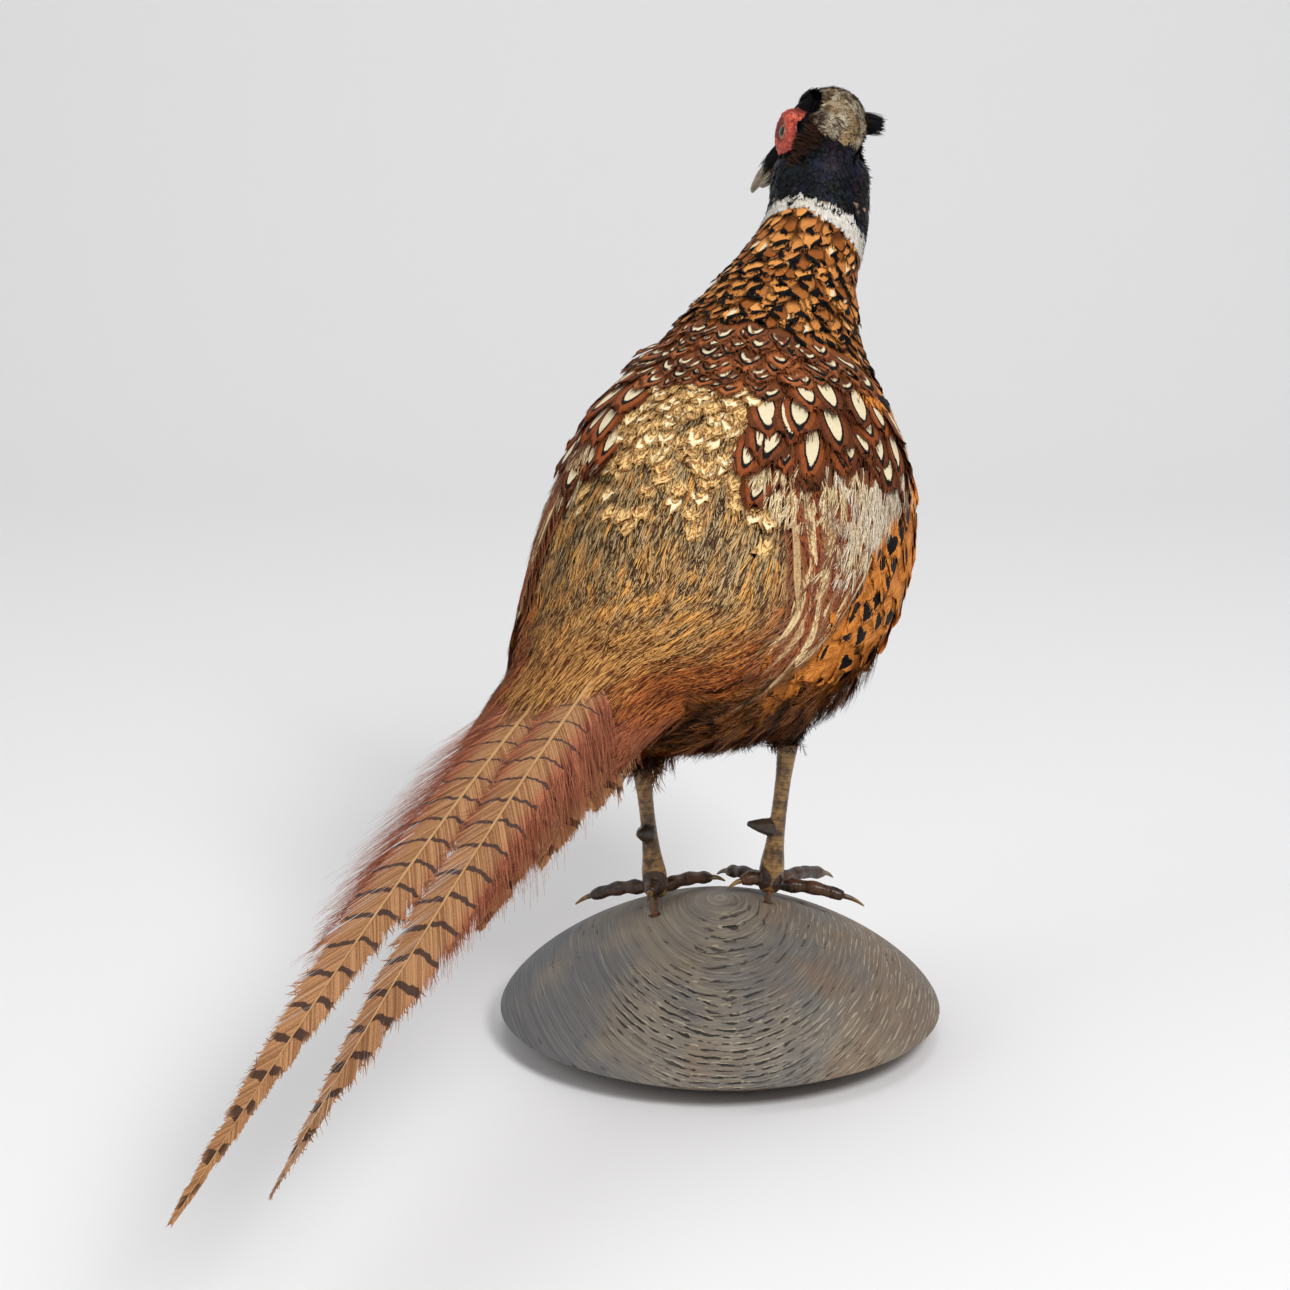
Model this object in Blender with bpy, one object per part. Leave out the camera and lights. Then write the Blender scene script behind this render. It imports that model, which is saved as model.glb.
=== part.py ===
"""Ring-necked pheasant cock, mounted standing on its turned wooden dome.

Frame: the origin is the centre of the dome's underside, +Z is up, the trunk faces -Y and its left
side is +X. Neck, trunk and rump are one lofted form parted by thin cuts. Wings and wattles are
shells laid on that form, and each piece keeps a hair's gap to its neighbours.
Lengths below are millimetres and angles degrees; MM makes metres.
"""
import math

import bmesh
import bpy
import numpy as np
from mathutils import Vector

MM = 0.001
GAP = 0.3            # clearance between neighbouring solids
SKIM = 1.1           # clearance of a shell laid on the faceted body
HEAD_SKIM = 0.5      # the same on the small head
CUT = 0.012          # half of a parting cut through the body, in stations

# Dome
DOME_RADIUS = 102.5
DOME_FOOT_RADIUS = 76.0    # flat underside
DOME_RIM_HEIGHT = 12.0     # height of the widest ring
DOME_RISE = 52.0           # from the widest ring to the top
DOME_ROUNDNESS = 1.6       # exponent of the radius in the profile
DOME_FULLNESS = 0.7        # exponent of the height in the profile
DOME_UNDERCUT = 1.15       # exponent of the height below the widest ring
DOME_SEGMENTS = 26
DOME_RINGS = 10
DOME_FOOT_RINGS = 4        # below the widest ring
WIRE_RADIUS = 1.3
WIRE_BORE_GAP = 0.9        # clearance of the wire in the dome and the sole
WIRE_ARCH = 2.2            # how far it rises on its way from the sole to its hole
WIRE_DEPTH = 10.0          # into the dome
WIRE_SEGMENTS = 8

# Neck, trunk and rump, one row for each station from inside the head to the root of the tail.
# Columns: back line y, z; front or belly line y, z; middle x; half width.
BODY_LINES = (
    (-82, 405, -110, 402, -5, 13),     # inside the head
    (-73, 394, -119, 388, -4, 22.5),   # upper neck
    (-71, 375, -120, 357, -3, 25),     # white collar
    (-50, 353, -110, 331, 3, 32),      # lower neck
    (-27, 331, -104, 303, 8, 45),      # neck base
    (2, 311, -118, 266, 8, 61),        # shoulders
    (33, 291, -123, 220, 7, 75),       # mantle
    (59, 262, -93, 176, 7, 80),        # back
    (80, 234, -39, 154, 6, 75),        # lower back
    (96, 220, 28, 151, 7, 61),         # rump
    (108, 211, 74, 160, 9, 50),        # tail base
    (118, 205, 98, 174, 10, 37),       # root of the tail
)
NECK_END = 4.0
TRUNK_END = 9.4
RUMP_END = 11.0
RINGS_PER_STATION = 3
BODY_SEGMENTS = 24
BELLY_FULLNESS = 0.08      # how much wider the section is below its middle

# Folded wing: station, upper edge and lower edge as angles down from the back line.
WING_OUTLINE = (
    (4.45, 62, 84),
    (4.85, 36, 97),
    (5.5, 25, 99),
    (6.2, 30, 88),
    (7.0, 43, 78),
    (7.8, 51, 74),
    (8.6, 61, 80),
    (9.3, 76, 89),
    (9.9, 93, 97),
)
WING_RISE = 6.0            # thickness in the middle, at the shoulder
WING_THINNING = 0.7        # share of that lost by the wing's tip
WING_EDGE = 1.0            # thickness along the edges
WING_ROUNDNESS = 0.5       # exponent of the swelling across the wing
WING_ROWS = 13
WING_COLUMNS = 6

# Head: it looks over the left shoulder, and down.
HEAD_CENTRE = (-4.8, -97.5, 407.5)
HEAD_TURN = 70.0           # left of the trunk's heading
HEAD_PITCH = 31.0          # downward
HEAD_ROLL = 20.0           # left side raised
# Columns: distance forward, half width, top, bottom.
HEAD_LINES = (
    (-21.5, 5, 7, -5),
    (-18, 11.5, 13, -12),
    (-12, 15.8, 17, -17),
    (-3, 17.5, 18.5, -18.5),
    (6, 16.8, 18, -17),
    (14, 14, 15, -14.5),
    (20, 10.5, 11, -12),
    (24, 7.5, 7.5, -9.5),
)
HEAD_RINGS = 12
HEAD_SEGMENTS = 18
SIDE_LIMIT = 0.98          # how near a place on the side of the head may come to its top
EYE_FORWARD = 9.0
EYE_HEIGHT = 1.5
EYE_RADIUS = 6.2
EYE_DEPTH = 3.6            # the ball's centre below the face
WATTLE_HOLE = 5.4
WATTLE_FIT_HOLE = 0.8      # the neck is cleared right across the eye
WATTLE_FIT_DEPTH = 3.0
WATTLE_FIT_GROW = 1.5
WATTLE_FORWARD = 12.0
WATTLE_BACK = 13.0
WATTLE_UP = 9.0
WATTLE_DOWN = 13.0
WATTLE_RISE = 1.8
WATTLE_EDGE = 0.6          # thickness along its rim
WATTLE_INNER = 0.3         # where its swelling starts, as a share of a half wave
WATTLE_SEGMENTS = 16
WATTLE_ROWS = 2
EYE_SEGMENTS = 12
EYE_RINGS = 8
# Bill, both tables: distance forward of its base, half width, top, bottom.
BILL_RINGS = 7
BILL_SEGMENTS = 10
BILL_FIT_START = -1.5      # the neck is cleared from behind the bill's base
UPPER_BILL_LINES = (
    (0, 5.4, 5.4, -2.4),
    (9, 4.9, 5.0, -2.2),
    (18, 3.8, 3.6, -2.2),
    (25, 2.2, 0.6, -3.2),
    (29, 1.0, -2.4, -4.6),
)
LOWER_BILL_LINES = (
    (0, 4.6, -2.9, -7.0),
    (8, 4.1, -2.7, -6.6),
    (16, 3.0, -2.8, -6.0),
    (22, 1.5, -3.6, -5.4),
)
# Ear tufts, left then right: root and tip as forward, sideways, up.
TUFTS = (
    ((-5.0, 14.0, 7.0), (-18.0, 18.5, 5.0)),
    ((-9.0, 10.0, 5.0), (-20.0, 22.0, -2.0)),
)
TUFT_RADII = (3.2, 3.8, 4.2, 3.8, 2.0)
TUFT_STEPS = 5
TUFT_SEGMENTS = 8

# Legs, left then right. Soles are the middle of the pad above the toes.
HIPS = ((38, -28, 182), (-25, -48, 186))
HOCKS = ((37, 8, 131), (-21.5, -27, 139))
SOLES = ((31, 5, 66.5), (-15, -23, 67))
WIRE_HOLES = ((24, 20), (-18.5, -12.5))
THIGH_RADII = (26, 22, 13, 6.5)
THIGH_STEPS = 6
THIGH_SEGMENTS = 12
HOCK_GAP = 4.4             # the shank starts this far below the end of the thigh
TARSUS_RADII = (4.6, 3.3, 2.9, 3.0, 3.6, 5.2)
TARSUS_STEPS = 8
TARSUS_SEGMENTS = 10
PAD_RADIUS = 5.4
PAD_DROP = 4.5
PAD_FULLNESS = 0.6         # height of the pad's widest ring and radius of its end, as shares
SPUR_HEIGHT = 27.0         # above the sole
SPUR_ROOT = 4.3            # its base in front of the shank's middle
SPUR_LIFT = 1.5
SPUR_RADII = (3.2, 2.2, 0.5)
SPUR_STEPS = 4
SPURS = ((176, 6), (118, 9))       # heading to the left of forward, length
# Toes: name, length, then fall and heading to the left of forward, on the left and right foot.
TOES = (
    ("inner", 30, (3, -20), (4, 57)),
    ("middle", 42, (8, 30), (8, -8)),
    ("outer", 28, (9, 86), (3.5, -74)),
    ("hind", 8, (0.5, 196), (0.5, 135)),
)
TOE_RISE = -1.5            # toe roots above the sole's middle
HIND_RISE = 2.5
TOE_RADII = (2.2, 2.9, 2.3, 2.7, 2.1, 2.4, 1.6)
TOE_CLEARANCE = 0.4        # between the pad and a toe
TOE_ARCH = 0.05            # upward bow, as a share of the length
TOE_STEP = 4.5             # length of one straight piece
TOE_LEAST_STEPS = 4
TOE_SEGMENTS = 6           # also of claws and spurs
CLAW_LENGTH = 10.0
HIND_CLAW = 0.7            # length of the hind claw, as a share of the others
CLAW_CLEARANCE = 0.6       # between a toe and its claw
CLAW_STEPS = 4
CLAW_RADII = (1.5, 1.2, 0.8, 0.35)
CLAW_CURL = 3.2

# Tail. Columns: name, root x, root drop, tip x, tip y, tip z, half width, rows.
TAIL_ROOT_Y = 121.0
TAIL_ROOT_Z = 200.0
TAIL_CENTRE_X = 10.0
TAIL_BOW = 0.02            # upward arch of a feather, as a share of its length
TAIL_FEATHERS = (
    ("tail_central_left", 21, 1.2, -12, 458, 98, 12, 12),
    ("tail_central_right", 0, -4.5, -33.5, 432, 101, 12, 12),
    ("tail_second_left", 26, 4.6, 11, 296, 136, 12, 7),
    ("tail_second_right", -4, 4.6, -23, 270, 140, 12, 7),
    ("tail_third_left", 31, 8.1, 20, 244, 147, 11, 7),
    ("tail_third_right", -9, 8.1, -25, 224, 151, 11, 7),
    ("tail_outer_left", 35, 11.6, 30, 196, 160, 10, 6),
    ("tail_outer_right", -14, 11.6, -26, 182, 163, 10, 6),
)
FEATHER_EDGE = 0.6         # thickness along the vane's edge
FEATHER_SHAFT = 1.6        # thickness at the shaft
FEATHER_ARCH = 0.16        # fall of the vane's edges for each millimetre of half width
FEATHER_COLUMNS = 4
QUILL_WIDTH = 0.72         # share of the width where the vane starts
VANE_SWELL = 0.18          # share of the length after which it is at its widest
VANE_TAPER = 1.7           # exponents of the taper to the tip
VANE_BLUNTNESS = 0.9
VANE_TIP = 0.9             # half width at the tip
# Undertail coverts, from the tail's root: distance back, top, bottom, half width.
UNDERTAIL_RINGS = 6
UNDERTAIL_SEGMENTS = 10
UNDERTAIL_LINES = (
    (0, -17, -29, 30),
    (22, -26, -41, 28),
    (46, -34, -48, 21),
    (66, -43, -50, 9),
)

COLOURS = {
    "weathered_wood": ((0.16, 0.145, 0.13), 0.75, 0.0),
    "steel_wire": ((0.35, 0.34, 0.33), 0.45, 1.0),
    "plumage": ((0.36, 0.17, 0.06), 0.7, 0.0),
    "dark_plumage": ((0.02, 0.02, 0.03), 0.5, 0.0),
    "wattle_skin": ((0.55, 0.09, 0.06), 0.6, 0.0),
    "eye": ((0.25, 0.09, 0.02), 0.08, 0.0),
    "horn": ((0.32, 0.28, 0.2), 0.4, 0.0),
    "leg_scale": ((0.16, 0.11, 0.06), 0.5, 0.0),
    "tail_vane": ((0.45, 0.27, 0.13), 0.6, 0.0),
}


def material(name):
    """The named finish, made once."""
    found = bpy.data.materials.get(name)
    if found:
        return found
    colour, roughness, metallic = COLOURS[name]
    made = bpy.data.materials.new(name)
    made.use_nodes = True
    shader = made.node_tree.nodes["Principled BSDF"]
    shader.inputs["Base Color"].default_value = (*colour, 1.0)
    shader.inputs["Roughness"].default_value = roughness
    shader.inputs["Metallic"].default_value = metallic
    made.diffuse_color = (*colour, 1.0)
    return made


def add_object(name, points, faces, finish):
    """A closed object from points in millimetres, its faces turned outwards."""
    form = bmesh.new()
    corners = [form.verts.new(Vector(p) * MM) for p in points]
    for face in faces:
        form.faces.new([corners[i] for i in face])
    bmesh.ops.recalc_face_normals(form, faces=form.faces)
    mesh = bpy.data.meshes.new(name)
    form.to_mesh(mesh)
    form.free()
    mesh.shade_smooth()
    mesh.materials.append(material(finish))
    made = bpy.data.objects.new(name, mesh)
    bpy.context.scene.collection.objects.link(made)
    return made


def interpolate(rows, at):
    """The row at a fractional row number, on a smooth curve through all the rows."""
    table = np.asarray(rows, float)
    last = len(table) - 1
    at = min(max(at, 0.0), float(last))
    low = min(int(at), last - 1)
    part = at - low
    start, end = table[low], table[low + 1]
    before = table[low - 1] if low > 0 else 2 * start - end
    after = table[low + 2] if low + 2 <= last else 2 * end - start
    return 0.5 * (2 * start + (end - before) * part
                  + (2 * before - 5 * start + 4 * end - after) * part ** 2
                  + (3 * start - before - 3 * end + after) * part ** 3)


def loft(name, rings, finish):
    """A closed solid through rings of points."""
    count = len(rings[0])
    points = [p for ring in rings for p in ring]
    faces = []
    for row in range(len(rings) - 1):
        for i in range(count):
            j = (i + 1) % count
            faces.append((row * count + i, row * count + j,
                          (row + 1) * count + j, (row + 1) * count + i))
    first_hub = len(points)
    points.append(sum((Vector(p) for p in rings[0]), Vector()) / count)
    last_hub = first_hub + 1
    points.append(sum((Vector(p) for p in rings[-1]), Vector()) / count)
    end = (len(rings) - 1) * count
    for i in range(count):
        j = (i + 1) % count
        faces.append((first_hub, j, i))
        faces.append((last_hub, end + i, end + j))
    return add_object(name, points, faces, finish)


def slab(name, upper, lower, finish, closed=False):
    """A thin solid between two grids of points; closed joins the first column to the last."""
    rows, columns = len(upper), len(upper[0])
    size = rows * columns
    points = [p for row in upper for p in row] + [p for row in lower for p in row]
    faces = []
    steps = columns if closed else columns - 1

    def spot(row, column):
        return row * columns + column % columns

    for r in range(rows - 1):
        for c in range(steps):
            quad = (spot(r, c), spot(r, c + 1), spot(r + 1, c + 1), spot(r + 1, c))
            faces.append(quad)
            faces.append(tuple(size + v for v in reversed(quad)))
    for c in range(steps):
        faces.append((spot(0, c + 1), spot(0, c), size + spot(0, c), size + spot(0, c + 1)))
        r = rows - 1
        faces.append((spot(r, c), spot(r, c + 1), size + spot(r, c + 1), size + spot(r, c)))
    if not closed:
        c = columns - 1
        for r in range(rows - 1):
            faces.append((spot(r, 0), spot(r + 1, 0), size + spot(r + 1, 0), size + spot(r, 0)))
            faces.append((spot(r + 1, c), spot(r, c), size + spot(r, c), size + spot(r + 1, c)))
    return add_object(name, points, faces, finish)


def tube(name, path, radii, finish, segments):
    """A round solid along a path, its radius read smoothly from the list of radii."""
    rings = []
    for i, here in enumerate(path):
        ahead = path[min(i + 1, len(path) - 1)]
        behind = path[max(i - 1, 0)]
        along = (Vector(ahead) - Vector(behind)).normalized()
        side = along.cross(Vector((0, 0, 1)))
        if side.length < 0.2:
            side = along.cross(Vector((0, 1, 0)))
        side.normalize()
        up = side.cross(along)
        radius = interpolate([(r,) for r in radii], i / (len(path) - 1) * (len(radii) - 1))[0]
        ring = []
        for k in range(segments):
            turn = math.tau * k / segments
            ring.append(Vector(here) + side * radius * math.sin(turn)
                        + up * radius * math.cos(turn))
        rings.append(ring)
    return loft(name, rings, finish)


def line(start, end, steps, bow=(0, 0, 0)):
    """Points from start to end, bowed sideways in the middle."""
    start, end, bow = Vector(start), Vector(end), Vector(bow)
    return [start.lerp(end, i / steps) + bow * math.sin(math.pi * i / steps)
            for i in range(steps + 1)]


def cut_away(piece, cutter):
    """Remove the cutter's volume from the piece; the cutter stays as a hidden guide."""
    cutter.hide_render = True
    cutter.display_type = "WIRE"
    removal = piece.modifiers.new("fit_" + cutter.name, "BOOLEAN")
    removal.operation = "DIFFERENCE"
    removal.solver = "EXACT"
    removal.object = cutter


# Body ----------------------------------------------------------------------------------------

def body_point(station, angle, lift=0.0):
    """A point of the body's surface; the angle runs from the back line to the left."""
    back_y, back_z, belly_y, belly_z, middle, half_width = interpolate(BODY_LINES, station)
    back = Vector((middle, back_y, back_z))
    belly = Vector((middle, belly_y, belly_z))
    rise = (back - belly) / 2
    turn = math.radians(angle)
    width = (half_width + lift) * (1 - BELLY_FULLNESS * math.cos(turn))
    height = rise.length + lift
    return ((back + belly) / 2 + Vector((1, 0, 0)) * width * math.sin(turn)
            + rise.normalized() * height * math.cos(turn))


def body_rings(start, end, lift=0.0):
    """Section rings of the body between two stations."""
    steps = max(2, round((end - start) * RINGS_PER_STATION))
    rings = []
    for i in range(steps + 1):
        station = start + (end - start) * i / steps
        rings.append([body_point(station, -360 * k / BODY_SEGMENTS, lift)
                      for k in range(BODY_SEGMENTS)])
    return rings


def make_neck(cutters):
    """The neck, hollowed where the head, the face and the bill sit on it."""
    neck = loft("neck", body_rings(0.0, NECK_END - CUT), "plumage")
    for cutter in cutters:
        cut_away(neck, cutter)


def make_trunk():
    loft("trunk", body_rings(NECK_END + CUT, TRUNK_END - CUT), "plumage")
    loft("rump", body_rings(TRUNK_END + CUT, RUMP_END), "plumage")


def wing_point(side, row, column, lift):
    """A point over the flank, within the folded wing's outline."""
    station, upper, lower = interpolate(WING_OUTLINE, row * (len(WING_OUTLINE) - 1))
    return body_point(station, side * (upper + (lower - upper) * column), lift)


def make_wing(name, side):
    upper, lower = [], []
    for r in range(WING_ROWS + 1):
        row = r / WING_ROWS
        top, under = [], []
        for c in range(WING_COLUMNS + 1):
            column = c / WING_COLUMNS
            swell = (math.sin(math.pi * row) * math.sin(math.pi * column)) ** WING_ROUNDNESS
            thickness = WING_EDGE + WING_RISE * swell * (1 - WING_THINNING * row)
            top.append(wing_point(side, row, column, SKIM + thickness))
            under.append(wing_point(side, row, column, SKIM))
        upper.append(top)
        lower.append(under)
    if side > 0:
        upper, lower = [row[::-1] for row in upper], [row[::-1] for row in lower]
    slab(name, upper, lower, "plumage")


# Head ----------------------------------------------------------------------------------------

def head_axes():
    """The head's forward, left and up directions."""
    turn, pitch, roll = (math.radians(a) for a in (HEAD_TURN, HEAD_PITCH, HEAD_ROLL))
    forward = Vector((math.sin(turn) * math.cos(pitch), -math.cos(turn) * math.cos(pitch),
                      -math.sin(pitch)))
    level_left = Vector((math.cos(turn), math.sin(turn), 0))
    level_up = forward.cross(level_left)
    left = level_left * math.cos(roll) + level_up * math.sin(roll)
    up = level_up * math.cos(roll) - level_left * math.sin(roll)
    return forward, left, up


def in_head(forward, left, up):
    """A place given in the head's own directions."""
    axes = head_axes()
    return Vector(HEAD_CENTRE) + axes[0] * forward + axes[1] * left + axes[2] * up


def section(line_row, angle, lift):
    """Sideways and upward place on the oval section of one row of head or bill lines."""
    half_width, top, bottom = line_row[1:4]
    turn = math.radians(angle)
    height = (top - bottom) / 2 + lift
    return ((half_width + lift) * math.sin(turn), (top + bottom) / 2 + height * math.cos(turn))


def oval_rings(lines, steps, segments, base=0.0, lift=0.0):
    """Rings along the head's axis through the rows of a table of lines."""
    rings = []
    for i in range(steps + 1):
        row = interpolate(lines, i / steps * (len(lines) - 1))
        stretch = lift * (2 * i / steps - 1)
        ring = []
        for k in range(segments):
            left, up = section(row, -360 * k / segments, lift)
            ring.append(in_head(base + row[0] + stretch, left, up))
        rings.append(ring)
    return rings


def face_point(side, forward, height, lift):
    """A point of the side of the head."""
    ahead = [row[0] for row in HEAD_LINES]
    row = interpolate(HEAD_LINES, np.interp(forward, ahead, range(len(ahead))))
    middle, reach = (row[2] + row[3]) / 2, (row[2] - row[3]) / 2
    rise = max(-SIDE_LIMIT, min(SIDE_LIMIT, (height - middle) / reach))
    left, up = section(row, math.degrees(math.acos(rise)), lift)
    return in_head(forward, side * left, up)


def make_eye(side_name, side, head, wattle):
    surface = face_point(side, EYE_FORWARD, EYE_HEIGHT, -EYE_DEPTH)
    for name, radius, is_cutter in (("eye_" + side_name, EYE_RADIUS, False),
                                    ("eye_socket_" + side_name, EYE_RADIUS + GAP, True)):
        bpy.ops.mesh.primitive_uv_sphere_add(segments=EYE_SEGMENTS, ring_count=EYE_RINGS,
                                             radius=radius * MM, location=surface * MM)
        made = bpy.context.object
        made.name = name
        made.data.name = name
        made.data.shade_smooth()
        made.data.materials.append(material("eye"))
        if is_cutter:
            cut_away(head, made)
            cut_away(wattle, made)
            socket = made
    return socket


def make_wattle(name, side, grow=0.0, depth=0.0, hole=WATTLE_HOLE):
    """Bare red skin round the eye, an oval ring that is thick in the middle."""
    upper, lower = [], []
    for r in range(WATTLE_ROWS + 1):
        part = r / WATTLE_ROWS
        reach = part + grow * (part - 0.5) / WATTLE_DOWN
        swell = WATTLE_RISE * math.sin(math.pi * (WATTLE_INNER + (1 - WATTLE_INNER) * part))
        lift = HEAD_SKIM + WATTLE_EDGE + swell + grow
        top, under = [], []
        for k in range(WATTLE_SEGMENTS):
            turn = math.tau * k / WATTLE_SEGMENTS * side
            wide = WATTLE_FORWARD if math.cos(turn) > 0 else WATTLE_BACK
            tall = WATTLE_UP if math.sin(turn) > 0 else WATTLE_DOWN
            out_s = hole + (wide - hole) * reach
            out_v = hole + (tall - hole) * reach
            forward = EYE_FORWARD + out_s * math.cos(turn)
            height = EYE_HEIGHT + out_v * math.sin(turn)
            top.append(face_point(side, forward, height, lift))
            under.append(face_point(side, forward, height, HEAD_SKIM - depth))
        upper.append(top)
        lower.append(under)
    return slab(name, upper, lower, "wattle_skin", closed=True)


def make_ear_tuft(side_name, side, head_cutter):
    ends = TUFTS[0 if side > 0 else 1]
    root, tip = (in_head(ahead, side * out, up) for ahead, out, up in ends)
    tuft = tube("ear_tuft_" + side_name, line(root, tip, TUFT_STEPS), TUFT_RADII, "dark_plumage",
                TUFT_SEGMENTS)
    cut_away(tuft, head_cutter)


def make_head():
    """The head and what it carries; returns the guides that fit the neck to them."""
    head = loft("head", oval_rings(HEAD_LINES, HEAD_RINGS, HEAD_SEGMENTS), "dark_plumage")
    head_cutter = loft("head_fit", oval_rings(HEAD_LINES, HEAD_RINGS, HEAD_SEGMENTS, lift=GAP),
                       "dark_plumage")
    cutters = [head_cutter]
    for side_name, side in (("left", 1), ("right", -1)):
        wattle = make_wattle("wattle_" + side_name, side)
        cutters.append(make_eye(side_name, side, head, wattle))
        make_ear_tuft(side_name, side, head_cutter)
        cutters.append(make_wattle("wattle_fit_" + side_name, side, WATTLE_FIT_GROW, WATTLE_FIT_DEPTH,
                                   WATTLE_FIT_HOLE))
    base = HEAD_LINES[-1][0] + GAP
    for name, lines in (("bill_upper", UPPER_BILL_LINES), ("bill_lower", LOWER_BILL_LINES)):
        loft(name, oval_rings(lines, BILL_RINGS, BILL_SEGMENTS, base), "horn")
        rings = oval_rings(lines, BILL_RINGS, BILL_SEGMENTS, base + BILL_FIT_START, GAP)
        cutters.append(loft(name + "_fit", rings, "horn"))
    return cutters


# Legs ----------------------------------------------------------------------------------------

def heading(angle):
    """A level direction, the angle measured from straight ahead to the left."""
    return Vector((math.sin(math.radians(angle)), -math.cos(math.radians(angle)), 0))


def make_toe(side_name, toe_name, sole, angle, length, fall):
    out = heading(angle)
    rise = HIND_RISE if toe_name == "hind" else TOE_RISE
    start = sole + out * (PAD_RADIUS + TOE_CLEARANCE) + Vector((0, 0, rise))
    drop = Vector((0, 0, -fall))
    end = start + out * length + drop
    steps = max(TOE_LEAST_STEPS, round(length / TOE_STEP))
    arch = Vector((0, 0, TOE_ARCH * length))
    tube("toe_%s_%s" % (toe_name, side_name), line(start, end, steps, arch), TOE_RADII,
         "leg_scale", TOE_SEGMENTS)
    along = (out * length + drop).normalized()
    claw_length = CLAW_LENGTH * (HIND_CLAW if toe_name == "hind" else 1.0)
    claw_start = end + along * CLAW_CLEARANCE
    path = []
    for i in range(CLAW_STEPS + 1):
        part = i / CLAW_STEPS
        path.append(claw_start + along * claw_length * part
                    + Vector((0, 0, -CLAW_CURL * part ** 2)))
    tube("claw_%s_%s" % (toe_name, side_name), path, CLAW_RADII, "horn", TOE_SEGMENTS)


def make_leg(index, side_name, trunk_cutter):
    hip, hock, sole = (Vector(p[index]) for p in (HIPS, HOCKS, SOLES))
    down = (sole - hock).normalized()
    thigh = tube("thigh_" + side_name, line(hip, hock, THIGH_STEPS), THIGH_RADII, "plumage",
                 THIGH_SEGMENTS)
    cut_away(thigh, trunk_cutter)
    path = line(hock - Vector((0, 0, HOCK_GAP)), sole, TARSUS_STEPS)
    path.append(sole + Vector((0, 0, -PAD_DROP * PAD_FULLNESS)))
    path.append(sole + Vector((0, 0, -PAD_DROP)))
    pad_radii = (PAD_RADIUS, PAD_RADIUS * PAD_FULLNESS)
    tarsus = tube("tarsus_" + side_name, path, TARSUS_RADII + pad_radii, "leg_scale",
                  TARSUS_SEGMENTS)
    angle, length = SPURS[index]
    out = heading(angle)
    root = sole - down * SPUR_HEIGHT + out * SPUR_ROOT
    tip = root + out * length + Vector((0, 0, SPUR_LIFT))
    tube("spur_" + side_name, line(root, tip, SPUR_STEPS), SPUR_RADII, "horn", TOE_SEGMENTS)
    for toe_name, toe_length, *feet in TOES:
        fall, toe_angle = feet[index]
        make_toe(side_name, toe_name, sole, toe_angle, toe_length, fall)
    return tarsus


# Dome ----------------------------------------------------------------------------------------

def dome_height(radius):
    """Height of the dome's upper face at a radius."""
    slope = 1 - (radius / DOME_RADIUS) ** DOME_ROUNDNESS
    return DOME_RIM_HEIGHT + DOME_RISE * max(slope, 0.0) ** DOME_FULLNESS


def make_dome():
    profile = [(DOME_FOOT_RADIUS, 0.0)]
    for i in range(1, DOME_FOOT_RINGS):
        part = i / DOME_FOOT_RINGS
        profile.append((DOME_FOOT_RADIUS + (DOME_RADIUS - DOME_FOOT_RADIUS) * part,
                        DOME_RIM_HEIGHT * part ** DOME_UNDERCUT))
    for i in range(DOME_RINGS):
        radius = DOME_RADIUS * math.cos(math.pi / 2 * i / DOME_RINGS)
        profile.append((radius, dome_height(radius)))
    rings = []
    for radius, height in profile:
        rings.append([Vector((radius * math.cos(math.tau * k / DOME_SEGMENTS),
                              radius * math.sin(math.tau * k / DOME_SEGMENTS), height))
                      for k in range(DOME_SEGMENTS)])
    return loft("base_dome", rings, "weathered_wood")


def make_mount_wire(index, side_name, dome, tarsus):
    """The wire that comes out of the sole and goes down into the dome."""
    x, y = WIRE_HOLES[index]
    sole = Vector(SOLES[index])
    mouth = Vector((x, y, dome_height(math.hypot(x, y))))
    up = Vector((0, 0, 1))
    under_sole = sole - up * (PAD_DROP + WIRE_RADIUS)
    arch = under_sole.lerp(mouth, 0.5) + up * WIRE_ARCH
    path = [sole - up * PAD_DROP / 2, under_sole, arch, mouth, mouth - up * WIRE_DEPTH]
    tube("mount_wire_" + side_name, path, (WIRE_RADIUS,) * 2, "steel_wire", WIRE_SEGMENTS)
    path[0] += up * GAP
    path[-1] -= up * GAP
    bore = tube("wire_bore_" + side_name, path, (WIRE_RADIUS + WIRE_BORE_GAP,) * 2, "steel_wire",
                WIRE_SEGMENTS)
    cut_away(dome, bore)
    cut_away(tarsus, bore)


# Tail ----------------------------------------------------------------------------------------

def vane_width(part, half_width):
    """Half width along a tail feather: full after the quill, then a long taper."""
    opening = math.sin(min(part / VANE_SWELL, 1.0) * math.pi / 2)
    swell = QUILL_WIDTH + (1 - QUILL_WIDTH) * opening
    return half_width * swell * (1 - part ** VANE_TAPER) ** VANE_BLUNTNESS + VANE_TIP


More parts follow.
